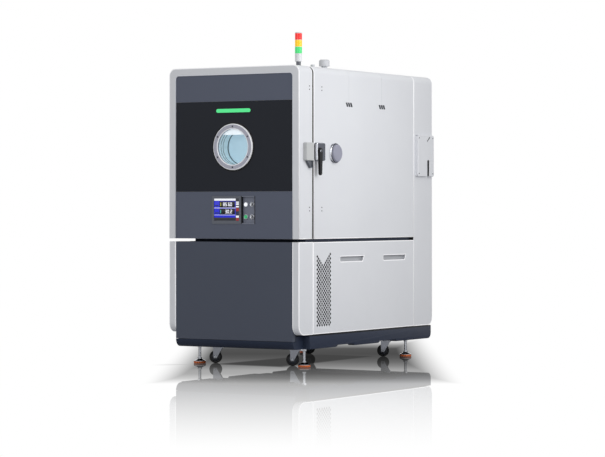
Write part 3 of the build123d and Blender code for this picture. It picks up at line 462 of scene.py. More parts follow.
def carried(name, path, plane, level, section, back, material, body, closed=False, crease=60):
    """Profile carried along a path that lies in the plane y or x = level. Section point = path point
    + p inward + q back, where p and q are its two numbers and back is +1 or -1 along the axis."""
    normal = np.array([0, 1, 0] if plane == "y" else [1, 0, 0], float)

    def placed(flat):
        u, v = flat[:, 0], flat[:, 1]
        return np.stack([u, 0 * u, v], 1) if plane == "y" else np.stack([0 * u, u, v], 1)

    points, inward = path
    p, q = section[:, 0][None, :, None], section[:, 1][None, :, None]
    start = placed(points) + level * normal
    grid = start[:, None] + p * placed(inward)[:, None] + q * back * normal
    return finish_piece(surface(name, grid, along=closed, caps=not closed, crease=crease), material, body)


def folded_edge(name, path, plane, level, back, body, flip=False, closed=False, material=None):
    """Thin rounded fold along an edge: a bent strip carried along the path, a hair proud of the two
    faces that meet there. Flip puts the strip on the other side of the path. Its usual finish, the
    near-white edge paint with a slight glow, is a painted highlight."""
    w, lift = EDGE_WIDTH, EDGE_LIFT
    section = np.array([(w, -lift), (0.3 * w, -lift), (0.06 * w, -0.8 * lift), (-0.8 * lift, 0.06 * w),
                        (-lift, 0.3 * w), (-lift, w), (0.0004, w - 0.0018), (0.0004, 0.0004),
                        (w - 0.0018, 0.0004)])
    points, inward = path
    return carried(name, (points, -inward if flip else inward), plane, level, section, back,
                   material or edge_paint, body, closed, 100)


pillar_low, pillar_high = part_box("front_pillars")
RIM, PILLAR_RADIUS = 0.045, 0.055
pillar_side = box_path((pillar_low.y, pillar_low.z), (pillar_high.y, pillar_high.z),
                       (PILLAR_RADIUS, 0, 0, 0))
for hand, sign in SIDES:
    for place, across, back in (("", HALF, -sign), ("inner_", HALF - RIM, sign)):
        folded_edge(f"pillar_{place}edge_{hand}", pillar_side, "x", sign * across, back, "cabinet",
                    closed=True)


# Side covers: folded light pans that lift off, with a grey cup in each of their two finger pulls, a
# painted shade for the hollow of the pull. The right one breathes through diamond holes with black
# flanges; behind them a near-black sheet is painted shade for the dark inside of the holes.
cover_low, cover_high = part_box("access_panel_right")
side_cover_edges = box_path((cover_low.y, cover_low.z), (cover_high.y, cover_high.z))
dress(light_paint, "access_panel_left", "access_panel_right")
for hand, sign in SIDES:
    folded_edge(f"side_cover_edge_{hand}", side_cover_edges, "x", sign * HALF, -sign, f"access_{hand}",
                closed=True)

PULL_LENGTH, PULL_HEIGHT, PULL_FOOT = 0.283, 0.030, 0.610
PULL_PLACES = (0.6073, 1.1256)
CUP_BRIM, CUP_FLOOR, CUP_BACK = 0.0015, 0.0171, 0.0177
# Grey for the pull cups, darker than the covers: painted shade in the finger pulls.
cup_grey = coated("cup_grey", (186, 188, 192), 0.5, 0.08, specular=0.3)


def pull_cup(name, mouth, sign, body):
    """Grey cup in a finger pull, painted shade for the pull's hollow. Its rings are the mouth's path drawn
    in by an inset, each at a depth below the cover's face; the first and last rings shrink to the middle
    and close the cup."""
    points, inward = mouth
    middle = np.tile(points.mean(0), (len(points), 1))
    inner, outer = points + 0.0012 * inward, points + 0.0003 * inward
    rings = ((middle, CUP_FLOOR), (inner, CUP_FLOOR), (inner, CUP_BRIM), (outer, CUP_BRIM),
             (outer, CUP_BACK), (middle, CUP_BACK))
    cup = np.stack([np.insert(flat, 0, sign * (HALF - depth), axis=1) for flat, depth in rings])
    return finish_piece(surface(name, cup), cup_grey, body)


for hand, sign in SIDES:
    for number, middle in enumerate(PULL_PLACES):
        start, end = DOOR_FACE + middle - PULL_LENGTH / 2, DOOR_FACE + middle + PULL_LENGTH / 2
        mouth = rounded_path([(start, PULL_FOOT), (end - PULL_HEIGHT / 2, PULL_FOOT),
                              (end, PULL_FOOT + PULL_HEIGHT), (start, PULL_FOOT + PULL_HEIGHT)],
                             (0.01, 0, 0, 0.01), closed=True)
        folded_edge(f"pull_lip_{hand}_{number + 1}", mouth, "x", sign * HALF, -sign, f"access_{hand}",
                    flip=True, closed=True)
        pull_cup(f"pull_cup_{hand}_{number + 1}", mouth, sign, f"access_{hand}")


def plate(name, u_span, v_span, plane, level, height, material, body, rim=0.0006):
    """Thin plate with a rounded rim, as rings of four points. Ring k = rectangle less inset k, pushed
    out to height k; the insets and heights climb the side, turn over the rim and cross the top."""
    (u0, u1), (v0, v1) = u_span, v_span
    inset = np.array([0, 0, 0.3, 1]) * rim
    share = 1 - np.array([1, 0, 0, 0]) - np.array([0, 1, 0.3, 0]) * min(0.8, rim / abs(height))
    corner = np.array([(u0, v0), (u1, v0), (u1, v1), (u0, v1)])
    pull = np.array([(1, 1), (-1, 1), (-1, -1), (1, -1)])
    flat = corner[None] + inset[:, None, None] * pull[None]
    out = np.repeat(level + height * share[:, None], 4, 1)
    order = {"x": (out, flat[..., 0], flat[..., 1]), "y": (flat[..., 0], out, flat[..., 1])}[plane]
    return finish_piece(surface(name, np.stack(order, -1), caps=True), material, body)


# Near-black sheet behind the diamond holes: painted shade for the dark inside of the holes.
filter_mat = coated("filter_mat", (14, 15, 17), 0.9, 0.6, 260, specular=0.1)
plate("vent_filter", (DOOR_FACE + 0.190, DOOR_FACE + 0.366), (0.228, 0.677), "x", HALF - 0.0019, 0.0013,
      filter_mat, "access_right", rim=0.0002)
grille_black = coated("grille_black", (22, 24, 28), 0.6, 0.1, specular=0.15)
VENT_FOOT, VENT_TOP, VENT_PITCH, VENT_NOTCH = 0.244, 0.661, 0.025, 0.011
vent_places = []
for column, y in enumerate(np.linspace(0.204, 0.352, 12)):
    top = VENT_TOP - VENT_NOTCH * min(column, 11 - column)
    heights = np.arange(VENT_FOOT + VENT_PITCH / 2 * (column % 2), top + 1e-6, VENT_PITCH)
    vent_places += [(HALF, DOOR_FACE + y, z) for z in heights]
turned("vent_flanges", [(0.0092, -0.0002), (0.0092, 0.0003), (0.0088, 0.0005), (0.0054, 0.0005),
                        (0.0050, -0.0006), (0.0054, -0.0006), (0.0092, -0.0002)],
       vent_places, "+x", grille_black, "access_right", sides=4)

# Chamber casing: one folded sheet over both sides and the roof, light grey, filled with yellow foam.
# Two seams cross the roof, and below each a small louvre breathes through the side.
dress(light_paint, "cabinet_shell")
foam = coated("foam", (226, 214, 160), 0.9, 0.4, 200)
dress(foam, "cabinet_insulation", "door_insulation")
SHELL_FRONT, SHELL_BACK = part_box("cabinet_shell")[0].y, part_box("cabinet_shell")[1].y
SHELL_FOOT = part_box("cabinet_shell")[0].z


def arch_path(foot, roof=ROOF, half=HALF, radius=ROOF_RADIUS):
    """Front view of the casing, up one side from the foot, over the roof with round corners and down."""
    return rounded_path([(half, foot), (half, roof), (-half, roof), (-half, foot)], (0, radius, radius, 0))


def foot_edges(name, start, end, body):
    """Folds along the foot of a casing on both sides, straight from start to end."""
    foot_line = rounded_path([(start, SHELL_FOOT), (end, SHELL_FOOT)], (0, 0))
    for hand, sign in SIDES:
        folded_edge(f"{name}_{hand}", foot_line, "x", sign * HALF, -sign, body)


folded_edge("shell_edge_front", arch_path(SHELL_FOOT), "y", SHELL_FRONT, 1, "cabinet")
folded_edge("shell_edge_back", arch_path(SHELL_FOOT), "y", SHELL_BACK, -1, "cabinet")
foot_edges("shell_edge_foot", SHELL_FRONT, SHELL_BACK, "cabinet")
shade = coated("shade", (44, 46, 52), 0.8, 0.1)
LOUVRE_FOOT, LOUVRE_RISE = 1.527, 0.025
SEAMS, LOUVRE_FRONT, LOUVRE_REAR = (0.569, 0.965), 0.039, 0.051
# Behind each louvre a dark plate in the shade material: painted shade inside its slots.
for number, seam in enumerate(SEAMS):
    plate(f"louvre_shade_plate_{number + 1}", (DOOR_FACE + seam - LOUVRE_FRONT, DOOR_FACE + seam + LOUVRE_REAR),
          (LOUVRE_FOOT - 0.001, LOUVRE_FOOT + LOUVRE_RISE + 0.001), "x", HALF - 0.0019, 0.0009, shade,
          "cabinet", rim=0.0002)

SIDE_SCREW_HEIGHTS = (1.632, 1.612, 0.930, 0.910)
for name, depth, body in (("casing", 0.255, "cabinet"), ("door", 0.116, "door")):
    side_screws = [(HALF, DOOR_FACE + depth, z) for z in SIDE_SCREW_HEIGHTS]
    socket_screws(f"{name}_screws_right", side_screws, "+x", 0.0036, dark_steel, body)

# Test space: a welded stainless box with a ground finish, wire shelves on rails, an air wall, the
# cooling coil, heating rods and the fan's motor behind the insulation.
dress(bare_metal("ground_steel", (190, 192, 196), 0.32),
      "inner_liner", "air_baffle", "shelves", "heater", "door_liner")
dress(coated("motor_paint", (70, 78, 92), 0.45, 0.15, 500), "fan_motor")
baffle_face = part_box("air_baffle")[0].y
baffle_screws = [(x, baffle_face, z) for x in (-0.235, 0.235) for z in (0.89, 1.07, 1.25, 1.43, 1.61)]
socket_screws("baffle_screws", baffle_screws, "-y", 0.0045, zinc, "cabinet")
FAN_HEIGHT, GUARD_LIFT, WIRE_RADIUS = 1.4835, 0.003, 0.0015
t = np.linspace(0, 2 * math.pi, 13)
for number, radius in enumerate((0.022, 0.038, 0.054, 0.070, 0.083)):
    wire = np.stack([radius + WIRE_RADIUS * np.cos(t), GUARD_LIFT + WIRE_RADIUS * np.sin(t)], 1)
    turned(f"fan_guard_ring_{number + 1}", wire, [(0, baffle_face, FAN_HEIGHT)], "-y", zinc, "cabinet",
           sides=64, crease=80)
for number, angle in enumerate(np.radians((0, 60, 120))):
    reach = 0.0895 * np.array([math.cos(angle), 0, math.sin(angle)])
    middle = np.array([0, baffle_face - 0.0010, FAN_HEIGHT])
    pipe(f"fan_guard_spoke_{number + 1}", [middle - reach, middle, middle + reach], 0.0013, zinc,
         "cabinet", bend=0.01, sides=10)

# Rear column: full-height light casing at the back with its own folded edges, a screwed back cover
# with exhaust slots, and a raised cover for the service socket on its right side.
dress(light_paint, "rear_column", "rear_panel", "service_cover")
column_low, column_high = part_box("rear_column")
BACK_RADIUS = 0.048
folded_edge("column_edge_front", arch_path(column_low.z), "y", column_low.y, 1, "cabinet")
folded_edge("column_edge_back", arch_path(column_low.z + BACK_RADIUS), "y", column_high.y, -1, "cabinet")
column_corner = rounded_path([(column_low.y, column_low.z), (column_high.y, column_low.z),
                              (column_high.y, column_low.z + BACK_RADIUS)], (0, BACK_RADIUS, 0))
for hand, sign in SIDES:
    folded_edge(f"column_edge_foot_{hand}", column_corner, "x", sign * HALF, -sign, "cabinet")
back_rows = np.linspace(0.30, 1.68, 7)
back_screws = [(x, column_high.y, z) for x in (-0.430, 0.430) for z in back_rows]
back_screws += [(x, column_high.y, z) for x in (-0.26, 0, 0.26) for z in (0.222, 1.731)]
socket_screws("back_cover_screws", back_screws, "+y", 0.0045, zinc, "cabinet")
service_low, service_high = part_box("service_cover")
service_screws = [(service_high.x, y, z) for y in (service_low.y + 0.016, service_high.y - 0.016)
                  for z in (service_low.z + 0.018, service_high.z - 0.018)]
socket_screws("service_screws", service_screws, "+x", 0.0036, dark_steel, "cabinet")
SHADE_INSET = 0.006
plate("service_shade", (service_low.y + SHADE_INSET, service_high.y - SHADE_INSET),
      (service_low.z + SHADE_INSET, service_high.z - SHADE_INSET), "x", HALF + 0.0004, 0.0012, shade,
      "cabinet")
drain_brass = bare_metal("drain_brass", (190, 160, 96), 0.3)
DRAIN_ACROSS, DRAIN_HEIGHT = 0.3, 0.303
for hand, sign in SIDES:
    turned(f"drain_nut_{hand}", [(0.0125, -0.001), (-0.021, -0.001), (-0.021, 0.0055), (0.018, 0.0068),
                                 (0.0125, 0.0068), (0.0125, -0.001)],
           [(sign * DRAIN_ACROSS, column_high.y, DRAIN_HEIGHT)], "+y", drain_brass, "cabinet", facets=6)

# Cable port: a chromed flange and tube through the right wall, closed by a grey silicone plug with a
# moulded head.
port_chrome = chromed("port_chrome", (238, 240, 244), 0.16, (96, 98, 106))
dress(port_chrome, "port_tube")
plug_silicone = coated("plug_silicone", (150, 151, 166), 0.55, 0.2, 350, specular=0.3)
dress(plug_silicone, "cable_plug")
plug_low, plug_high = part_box("cable_plug")
PORT_CENTRE = ((plug_low.y + plug_high.y) / 2, (plug_low.z + plug_high.z) / 2)
t = np.linspace(0, 2 * math.pi, 17)
turned("plug_grip_ring", np.stack([0.036 + 0.0016 * np.cos(t), 0.0016 * np.sin(t) - 0.0006], 1),
       [(plug_high.x, *PORT_CENTRE)], "+x", plug_silicone, "cable_plug", sides=64, crease=80)
turned("port_bead", np.stack([0.0565 + 0.0016 * np.cos(t), 0.0016 * np.sin(t)], 1),
       [(HALF + 0.0105, *PORT_CENTRE)], "+x", port_chrome, "cabinet", sides=64, crease=80)

# Signal tower and roof fittings: a moulded base, grey at its foot and white above, three stacked lenses
# that glow in their own colours, a breather cap and a cable gland.
dress(coated("tower_white", (96, 98, 106), 0.35, 0.12, levels=[(1.7838, (228, 229, 232))]),
      "signal_base")
dress(coated("fitting_grey", (206, 208, 212), 0.4, 0.12), "top_fittings")
TOWER, LENS_FEET = (0.300, -0.567), (1.829, 1.869, 1.909)
dress(coated("lens_glow", (70, 215, 120), 0.2, 0.0, coat=0.3, glow=0.30, specular=0.3,
             levels=[(LENS_FEET[1], (248, 196, 22)), (LENS_FEET[2], (240, 44, 40))]),
      "signal_lenses")
lens_band = coated("lens_band", (236, 238, 240), 0.3, 0.05)
for number, z in enumerate(LENS_FEET):
    turned(f"lens_ring_{number + 1}", [(0.019, 0.0002), (0.0212, 0.0002), (0.0214, 0.001), (0.0212, 0.0018),
                                       (0.019, 0.0018), (0.019, 0.0002)],
           [(*TOWER, z)], "+z", lens_band, "cabinet", sides=48)

# Door: a folded light casing round a slate header and lower plate and a black glass band, filled with
# foam, with a stainless inner skin. A black silicone seal closes the gap to the chamber.
dress(light_paint, "door_shell")
dress(coated("door_slate", (85, 91, 107), 0.4, 0.08, specular=0.4), "door_face_panels")
dress(coated("band_glass", (22, 27, 37), 0.38, 0.0, specular=0.26, spread=0.02), "door_glass_band")
seal_rubber = coated("seal_rubber", (20, 21, 24), 0.6, 0.25, 500, specular=0.3)
dress(seal_rubber, "door_gasket")
DOOR_BACK = door_high.y
WINDOW_RADIUS = 0.020
face_opening = rounded_path([(HALF - RIM, SHELL_FOOT), (HALF - RIM, ROOF - RIM), (RIM - HALF, ROOF - RIM),
                             (RIM - HALF, SHELL_FOOT)], (0, WINDOW_RADIUS, WINDOW_RADIUS, 0))
folded_edge("door_edge_front", arch_path(SHELL_FOOT), "y", DOOR_FACE, 1, "door")
folded_edge("door_edge_back", arch_path(SHELL_FOOT), "y", DOOR_BACK, -1, "door")
rim_paint = coated("rim_paint", (226, 229, 236), 0.3, 0.02, specular=0.5)
folded_edge("door_rim_edge", face_opening, "y", DOOR_FACE, 1, "door", flip=True, material=rim_paint)
foot_edges("door_edge_foot", DOOR_FACE, DOOR_BACK, "door")

# Outer lip of the seal: black silicone with two shallow grooves, glued to the door's back. It bridges the
# gap just inside the casing's outline and shows as the black line.
lip_path = arch_path(SHELL_FOOT + 0.003, ROOF - 0.003, HALF - 0.003, ROOF_RADIUS - 0.003)
lip_section = np.array([(0.0005, 0.0004), (0.0, 0.0050), (0.0006, 0.0095), (0.0, 0.0140), (0.0005, 0.0184),
                        (0.0105, 0.0184), (0.0105, 0.0004)])
carried("seal_lip", lip_path, "y", DOOR_BACK, lip_section, 1, seal_rubber, "door", crease=35)

# Hinges: two welded steel hinges on the left, whose leaves on the door turn on pins in the knuckles on
# the casing. Each leaf is held by four socket screws.
dress(bare_metal("hinge_steel", (176, 179, 184), 0.3), "hinge_knuckles", "hinge_leaves")
HINGE_FACE, HINGE_HEIGHTS, LEAF_HOLES = -0.453, (0.940, 1.560), (-0.042, 0.042)
for leaf, columns, body in (("door", (-0.699, -0.680), "door"), ("casing", (-0.623, -0.604), "cabinet")):
    leaf_screws = [(HINGE_FACE, y, z + dz) for y in columns for z in HINGE_HEIGHTS for dz in LEAF_HOLES]
    socket_screws(f"hinge_screws_{leaf}", leaf_screws, "-x", 0.0042, zinc, body)

# Window: a screwed metal ring with a fine-grained face and near-white, slightly glowing bevels that are
# painted highlights, bedded on a black seal ring that is painted shadow round the metal ring. Behind it
# stand heated panes on spacer rings in a steel tunnel, a coated pale blue pane and a lamp shade; the
# tunnel, the grey spacers and the pale blue pane glow as painted light.
WINDOW_HEIGHT, SCREW_CIRCLE = 1.283, 0.1190
ring_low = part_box("viewport_frame")[0]
PLATE_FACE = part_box("door_face_panels")[0].y
dress(coated("ring_metal", (176, 177, 190), 0.42, 0.25, 900, metallic=0.25), "viewport_frame")
# Near-white with a slight glow for the ring's bevels: a painted highlight.
ring_bright = coated("ring_bright", (246, 247, 250), 0.28, 0.0, coat=0.3, glow=0.1)
window_place = [(0, PLATE_FACE, WINDOW_HEIGHT)]


def window_ring(name, outline, material, crease=35, sides=128):
    """Closed outline turned about the window's middle."""
    return turned(name, outline + outline[:1], window_place, "-y", material, "door", sides, crease)


window_ring("window_bevel_outer", [(0.1300, 0.0110), (0.1300, 0.0123), (0.1312, 0.0124), (0.1353, 0.0084),
                                   (0.1354, 0.0030), (0.1345, 0.0026)], ring_bright, 60)
window_ring("window_bevel_inner", [(0.1045, 0.0070), (0.1045, 0.0104), (0.1068, 0.0124), (0.1092, 0.0123),
                                   (0.1092, 0.0112)], ring_bright, 60)
# A black ring round the metal ring, in the seal's rubber: painted shadow.
window_ring("window_seal", [(0.1335, 0.0), (0.1445, 0.0), (0.1442, 0.0012), (0.1410, 0.0020),
                            (0.1335, 0.0020)], seal_rubber, 60)
ring_screws = [(SCREW_CIRCLE * math.cos(a), ring_low.y, WINDOW_HEIGHT + SCREW_CIRCLE * math.sin(a))
               for a in np.radians((90, 150, 210, 270, 330, 30))]
socket_screws("window_screws", ring_screws, "-y", 0.0048, dark_steel, "door")

# The tunnel's steel glows: painted light.
sleeve_steel = coated("sleeve_steel", (196, 214, 220), 0.3, 0.02, specular=0.3, glow=0.38)
window_ring("window_sleeve", [(0.1049, -0.1030), (0.1042, -0.1030), (0.1042, -0.0062), (0.1049, -0.0062)],
            sleeve_steel)
# The grey spacers glow a little: painted light.
spacer_grey = coated("spacer_grey", (120, 142, 152), 0.4, 0.05, glow=0.1)
for number, depth in enumerate((0.0250, 0.0480)):
    window_ring(f"window_spacer_{number + 1}", [(0.1043, -depth - 0.0022), (0.1022, -depth - 0.0018),
                                                (0.1022, -depth + 0.0018), (0.1043, -depth + 0.0022)],
                spacer_grey, 40)
spacer_black = coated("spacer_black", (60, 82, 92), 0.6, 0.1)
window_ring("window_spacer_dark", [(0.1043, -0.1025), (0.1012, -0.1025), (0.1012, -0.0975),
                                   (0.1043, -0.0975)], spacer_black, sides=96)
# The pale blue pane glows: painted light.
coated_pane = coated("coated_pane", (170, 188, 198), 0.12, 0.0, specular=0.3, glow=0.66)
turned("window_coated_pane", [(0, -0.1080), (0.1045, -0.1080), (0.1049, -0.1075), (0.1049, -0.1035),
                              (0.1045, -0.1030), (0, -0.1030)],
       window_place, "-y", coated_pane, "door", sides=96)

pane_glass = bpy.data.materials.new("pane_glass")
pane_glass.use_nodes = True
pane_tree = pane_glass.node_tree
pane_place = node(pane_tree, "ShaderNodeTexCoord").outputs["Object"]
pane_cloud = node(pane_tree, "ShaderNodeTexNoise", ("Vector", pane_place), ("Scale", 4)).outputs["Fac"]
pane_tint = node(pane_tree, "ShaderNodeMix", (0, pane_cloud), (6, srgb(248, 252, 253)),
                 (7, srgb(243, 249, 251)), data_type="RGBA")
pane_shader = pane_tree.nodes["Principled BSDF"]
pane_tree.links.new(pane_tint.outputs[2], pane_shader.inputs["Base Color"])
for socket, value in (("Roughness", 0.02), ("IOR", 1.02), ("Transmission Weight", 1.0)):
    pane_shader.inputs[socket].default_value = value
dress(pane_glass, "viewport_glass")

dress(coated("tube_white", (245, 250, 255), 0.3, 0.0, glow=2.5), "viewport_lamp")
SHADE_FOOT, SHADE_RADIUS, SHADE_FRONT, SHADE_BACK = 0.071, 0.1040, 0.0068, 0.0098
chord = math.acos(SHADE_FOOT / SHADE_RADIUS)
swing = np.linspace(math.pi / 2 - chord, math.pi / 2 + chord, 33)
shade_x, shade_top = SHADE_RADIUS * np.cos(swing), SHADE_RADIUS * np.sin(swing)
shade_rows = np.stack([np.stack([shade_x, np.full(33, PLATE_FACE + y), WINDOW_HEIGHT + z], 1) for y, z in (
    (SHADE_FRONT, np.full(33, SHADE_FOOT)), (SHADE_FRONT, shade_top), (SHADE_BACK, shade_top),
    (SHADE_BACK, np.full(33, SHADE_FOOT)))])
lamp_shade = coated("lamp_shade", (240, 243, 247), 0.5, 0.05, glow=0.5)
finish_piece(surface("window_lamp_shade", shade_rows, around=False, along=True), lamp_shade, "door")

# Status light: a green acrylic bar with round ends, lit from behind. It is let into the door's slate
# plate in a thin dark bed.
dress(coated("bar_green", (72, 200, 122), 0.3, 0.0, glow=0.72), "light_bar")
bar_low, bar_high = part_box("light_bar")
bar_radius = (bar_high.z - bar_low.z) / 2
bar_path = box_path((bar_low.x, bar_low.z), (bar_high.x, bar_high.z), (bar_radius,) * 4)
bed_section = np.array([(0.0002, 0.0), (0.0002, -0.0016), (-0.0022, -0.0020), (-0.0044, -0.0010),
                        (-0.0044, 0.0)])
carried("light_bar_bed", bar_path, "y", PLATE_FACE, bed_section, 1, seal_rubber, "door", closed=True)

# Touch screen: a grey moulded bezel round a bright display. The display shows a title bar, two rows of
# readings with plain numbers, a menu bar and a column of keys.
dress(coated("bezel_grey", (100, 104, 113), 0.42, 0.15, specular=0.35), "hmi_bezel")
screen_low, screen_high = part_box("hmi_screen")
SCREEN_WIDTH, SCREEN_HEIGHT = screen_high.x - screen_low.x, screen_high.z - screen_low.z
dress(coated("screen_dark", (48, 50, 58), 0.2, 0.0, glow=0.25), "hmi_screen")


def lit(name, colour, glow):
    """Colour of a lit part of the display, on the grain of its film."""
    return coated(name, colour, 0.25, 0.02, glow=glow, spread=0.02)


def screen_patch(name, left, right, top, bottom, material, lift=0.0004):
    """Raised patch of the display film, placed by shares of the display's width and height."""
    across = (screen_low.x + left * SCREEN_WIDTH, screen_low.x + right * SCREEN_WIDTH)
    upright = (screen_high.z - bottom * SCREEN_HEIGHT, screen_high.z - top * SCREEN_HEIGHT)
    return plate(name, across, upright, "y", screen_low.y, -lift, material, "door", rim=0.0002)


film_white = lit("film_white", (236, 238, 244), 0.5)
film_blue = lit("film_blue", (38, 44, 190), 0.55)
film_black = lit("film_black", (10, 11, 24), 0.1)
film_red = lit("film_red", (150, 44, 50), 0.35)
film_navy = lit("film_navy", (30, 40, 84), 0.3)
film_cyan = lit("film_cyan", (80, 190, 190), 0.6)
film_yellow = lit("film_yellow", (190, 190, 80), 0.6)
screen_patch("display_title", 0.0, 0.86, 0.0, 0.095, film_white)
screen_patch("display_blue", 0.0, 0.86, 0.105, 0.855, film_blue, 0.0003)
for number, (top, bottom) in enumerate(((0.125, 0.405), (0.455, 0.72))):
    screen_patch(f"display_row_{number + 1}", 0.215, 0.835, top, bottom, film_black, 0.0005)
    screen_patch(f"display_key_{number + 1}", 0.03, 0.18, top + 0.17, top + 0.22, film_navy, 0.0005)
screen_patch("display_row_line", 0.0, 0.86, 0.415, 0.435, film_white, 0.0005)
screen_patch("display_menu_line", 0.0, 0.86, 0.735, 0.75, film_white, 0.0005)
screen_patch("display_stripe", 0.02, 0.84, 0.915, 0.945, film_black, 0.0004)
for number, (top, bottom, film) in enumerate((
        (0.14, 0.19, film_white), (0.215, 0.285, film_white), (0.33, 0.40, film_white),
        (0.43, 0.57, film_red), (0.61, 0.66, film_navy), (0.68, 0.73, film_navy), (0.77, 0.86, film_white),
        (0.88, 0.995, film_red))):
    screen_patch(f"display_button_{number + 1}", 0.875, 0.992, top, bottom, film)

# Readings: bars of white film on the display's black rows, laid as seven-bar digits with a coloured
# mark in front. Bars: A top, B and C right, D foot, E and F left, G middle.
SEGMENTS = {"0": "ABCDEF", "2": "ABGED", "3": "ABGCD", "5": "AFGCD", "6": "AFGECD", "8": "ABCDEFG"}
DIGIT_TALL, DIGIT_WIDE, DIGIT_GAP, BAR_THICK, BAR_BROAD = 0.155, 0.062, 0.022, 0.024, 0.017
POINT_WIDE, POINT_TALL, DIGIT_LIFT = 0.014, 0.026, 0.0008
half_tall = DIGIT_TALL / 2
bars = {"A": (0, DIGIT_WIDE, 0, BAR_THICK), "D": (0, DIGIT_WIDE, DIGIT_TALL - BAR_THICK, DIGIT_TALL),
        "G": (0, DIGIT_WIDE, half_tall - BAR_THICK / 2, half_tall + BAR_THICK / 2),
        "F": (0, BAR_BROAD, 0, half_tall), "B": (DIGIT_WIDE - BAR_BROAD, DIGIT_WIDE, 0, half_tall),
        "E": (0, BAR_BROAD, half_tall, DIGIT_TALL),
        "C": (DIGIT_WIDE - BAR_BROAD, DIGIT_WIDE, half_tall, DIGIT_TALL)}
for row, (text, top, left, mark) in enumerate((("85.60", 0.185, 0.365, film_yellow),
                                               ("30.2", 0.51, 0.45, film_cyan))):
    column = left
    for place, sign in enumerate(text):
        label = f"display_digit_{row + 1}_{place + 1}"
        if sign == ".":
            screen_patch(label, column, column + POINT_WIDE, top + DIGIT_TALL - POINT_TALL, top + DIGIT_TALL,
                         film_white, DIGIT_LIFT)
            column += POINT_WIDE + DIGIT_GAP
            continue
        for bar in SEGMENTS[sign]:
            u0, u1, v0, v1 = bars[bar]
            screen_patch(f"{label}_{bar}", column + u0, column + u1, top + v0, top + v1, film_white,
                         DIGIT_LIFT)
        column += DIGIT_WIDE + DIGIT_GAP
    screen_patch(f"display_mark_{row + 1}", 0.255, 0.275, top, top + DIGIT_TALL, mark, DIGIT_LIFT)

# Controls: a recessed slate pan with a steel collar round each control, a green start button, a white
# lamp button and two black rotary selectors with silver bezels and pointers. The pan's floor is painted
# lighter than the door's slate, painted light against the recess's shade, and its left and right bands
# near black, painted shade of the recess walls; the silver bezels and pointers glow a little, a painted
# glint.
# Near black at the left and right of the pan, lighter slate between: painted shade and painted light.
dress(coated("pan_slate", (26, 28, 34), 0.4, 0.08, axis="X", specular=0.4,
             levels=[(0.0575, (122, 127, 142)), (0.1445, (26, 28, 34))]),
      "control_panel")
dress(coated("button_green", (56, 176, 110), 0.3, 0.02, glow=0.35), "start_button")
dress(coated("button_white", (240, 243, 247), 0.3, 0.02, glow=0.55), "lamp_button")
dress(coated("selector_black", (40, 42, 50), 0.32, 0.05, coat=0.2), "lower_selector", "upper_selector")
PAN_FLOOR, LOWER_ROW, UPPER_ROW = -0.787, 0.875, 0.947
LEFT_COLUMN, RIGHT_COLUMN = 0.0775, 0.1205
collar_steel = bare_metal("collar_steel", (196, 199, 206), 0.2, 0.03)
for column, across in (("left", LEFT_COLUMN), ("right", RIGHT_COLUMN)):
    turned(f"control_collars_{column}", [(0.0112, 0.0025), (0.0152, 0.0028), (0.0145, 0.0046),
                                         (0.0125, 0.0052), (0.0114, 0.0045), (0.0112, 0.0025)],
           [(across, PAN_FLOOR, z) for z in (LOWER_ROW, UPPER_ROW)], "-y", collar_steel, "door", sides=48,
           crease=50)
# Silver with a slight glow for the selector caps and bezels: real silver parts with a painted glint.
knob_silver = coated("knob_silver", (220, 223, 229), 0.25, 0.02, metallic=0.3, glow=0.12)
POINTER_HALF = 0.0026
for body, height in (("lower_selector", LOWER_ROW), ("upper_selector", UPPER_ROW)):
    plate(f"{body}_cap", (RIGHT_COLUMN - POINTER_HALF, RIGHT_COLUMN + POINTER_HALF),
          (height - 0.0090, height + 0.0092), "y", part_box(body)[0].y, -0.0008, knob_silver, body)
    turned(f"{body}_bezel", [(0.0070, 0.0098), (0.0102, 0.0098), (0.0105, 0.0106), (0.0098, 0.0116),
                             (0.0070, 0.0108), (0.0070, 0.0098)], [(RIGHT_COLUMN, PAN_FLOOR + 0.004, height)],
           "-y", knob_silver, body, sides=48, crease=50)

# Latch: a chromed housing on the casing with a black tapered lever, and a light keeper on the door with
# a dark ribbed wedge below it.
latch_chrome = chromed("latch_chrome", (226, 228, 234), 0.12, (92, 95, 104))
dress(latch_chrome, "latch_housing")
dress(coated("lever_black", (17, 18, 22), 0.32, 0.03, specular=0.2), "latch_lever")
dress(coated("keeper_paint", (84, 88, 96), 0.35, 0.05, levels=[(1.2005, (188, 190, 190))]),
      "latch_keeper")
keeper_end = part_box("latch_keeper")[1].y
RIB_HALF, RIB_PITCH, RIB_SPAN = 0.0012, 0.0055, (1.1640, 1.1990)
for number in range(4):
    y = keeper_end - 0.0035 - RIB_PITCH * number
    plate(f"keeper_rib_{number + 1}", (y - RIB_HALF, y + RIB_HALF), RIB_SPAN, "x", HALF + 0.0155, 0.0012,
          dark_steel, "door", rim=0.0005)
PIVOT, HOUSING_FACE = (-0.618, 1.257), 0.4718
turned("lever_boss", [(0, -0.0006), (0.0092, -0.0006), (0.0092, 0.0006), (0.0080, 0.0012), (0.0030, 0.0012),
                      (0.0030, 0.0002), (0, 0.0002)],
       [(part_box("latch_lever")[1].x - 0.0002, *PIVOT)], "+x", latch_chrome, "latch", sides=32)
socket_screws("latch_screws", [(HOUSING_FACE, -0.567, z) for z in (1.290, 1.216)], "+x", 0.0042, zinc,
              "cabinet")

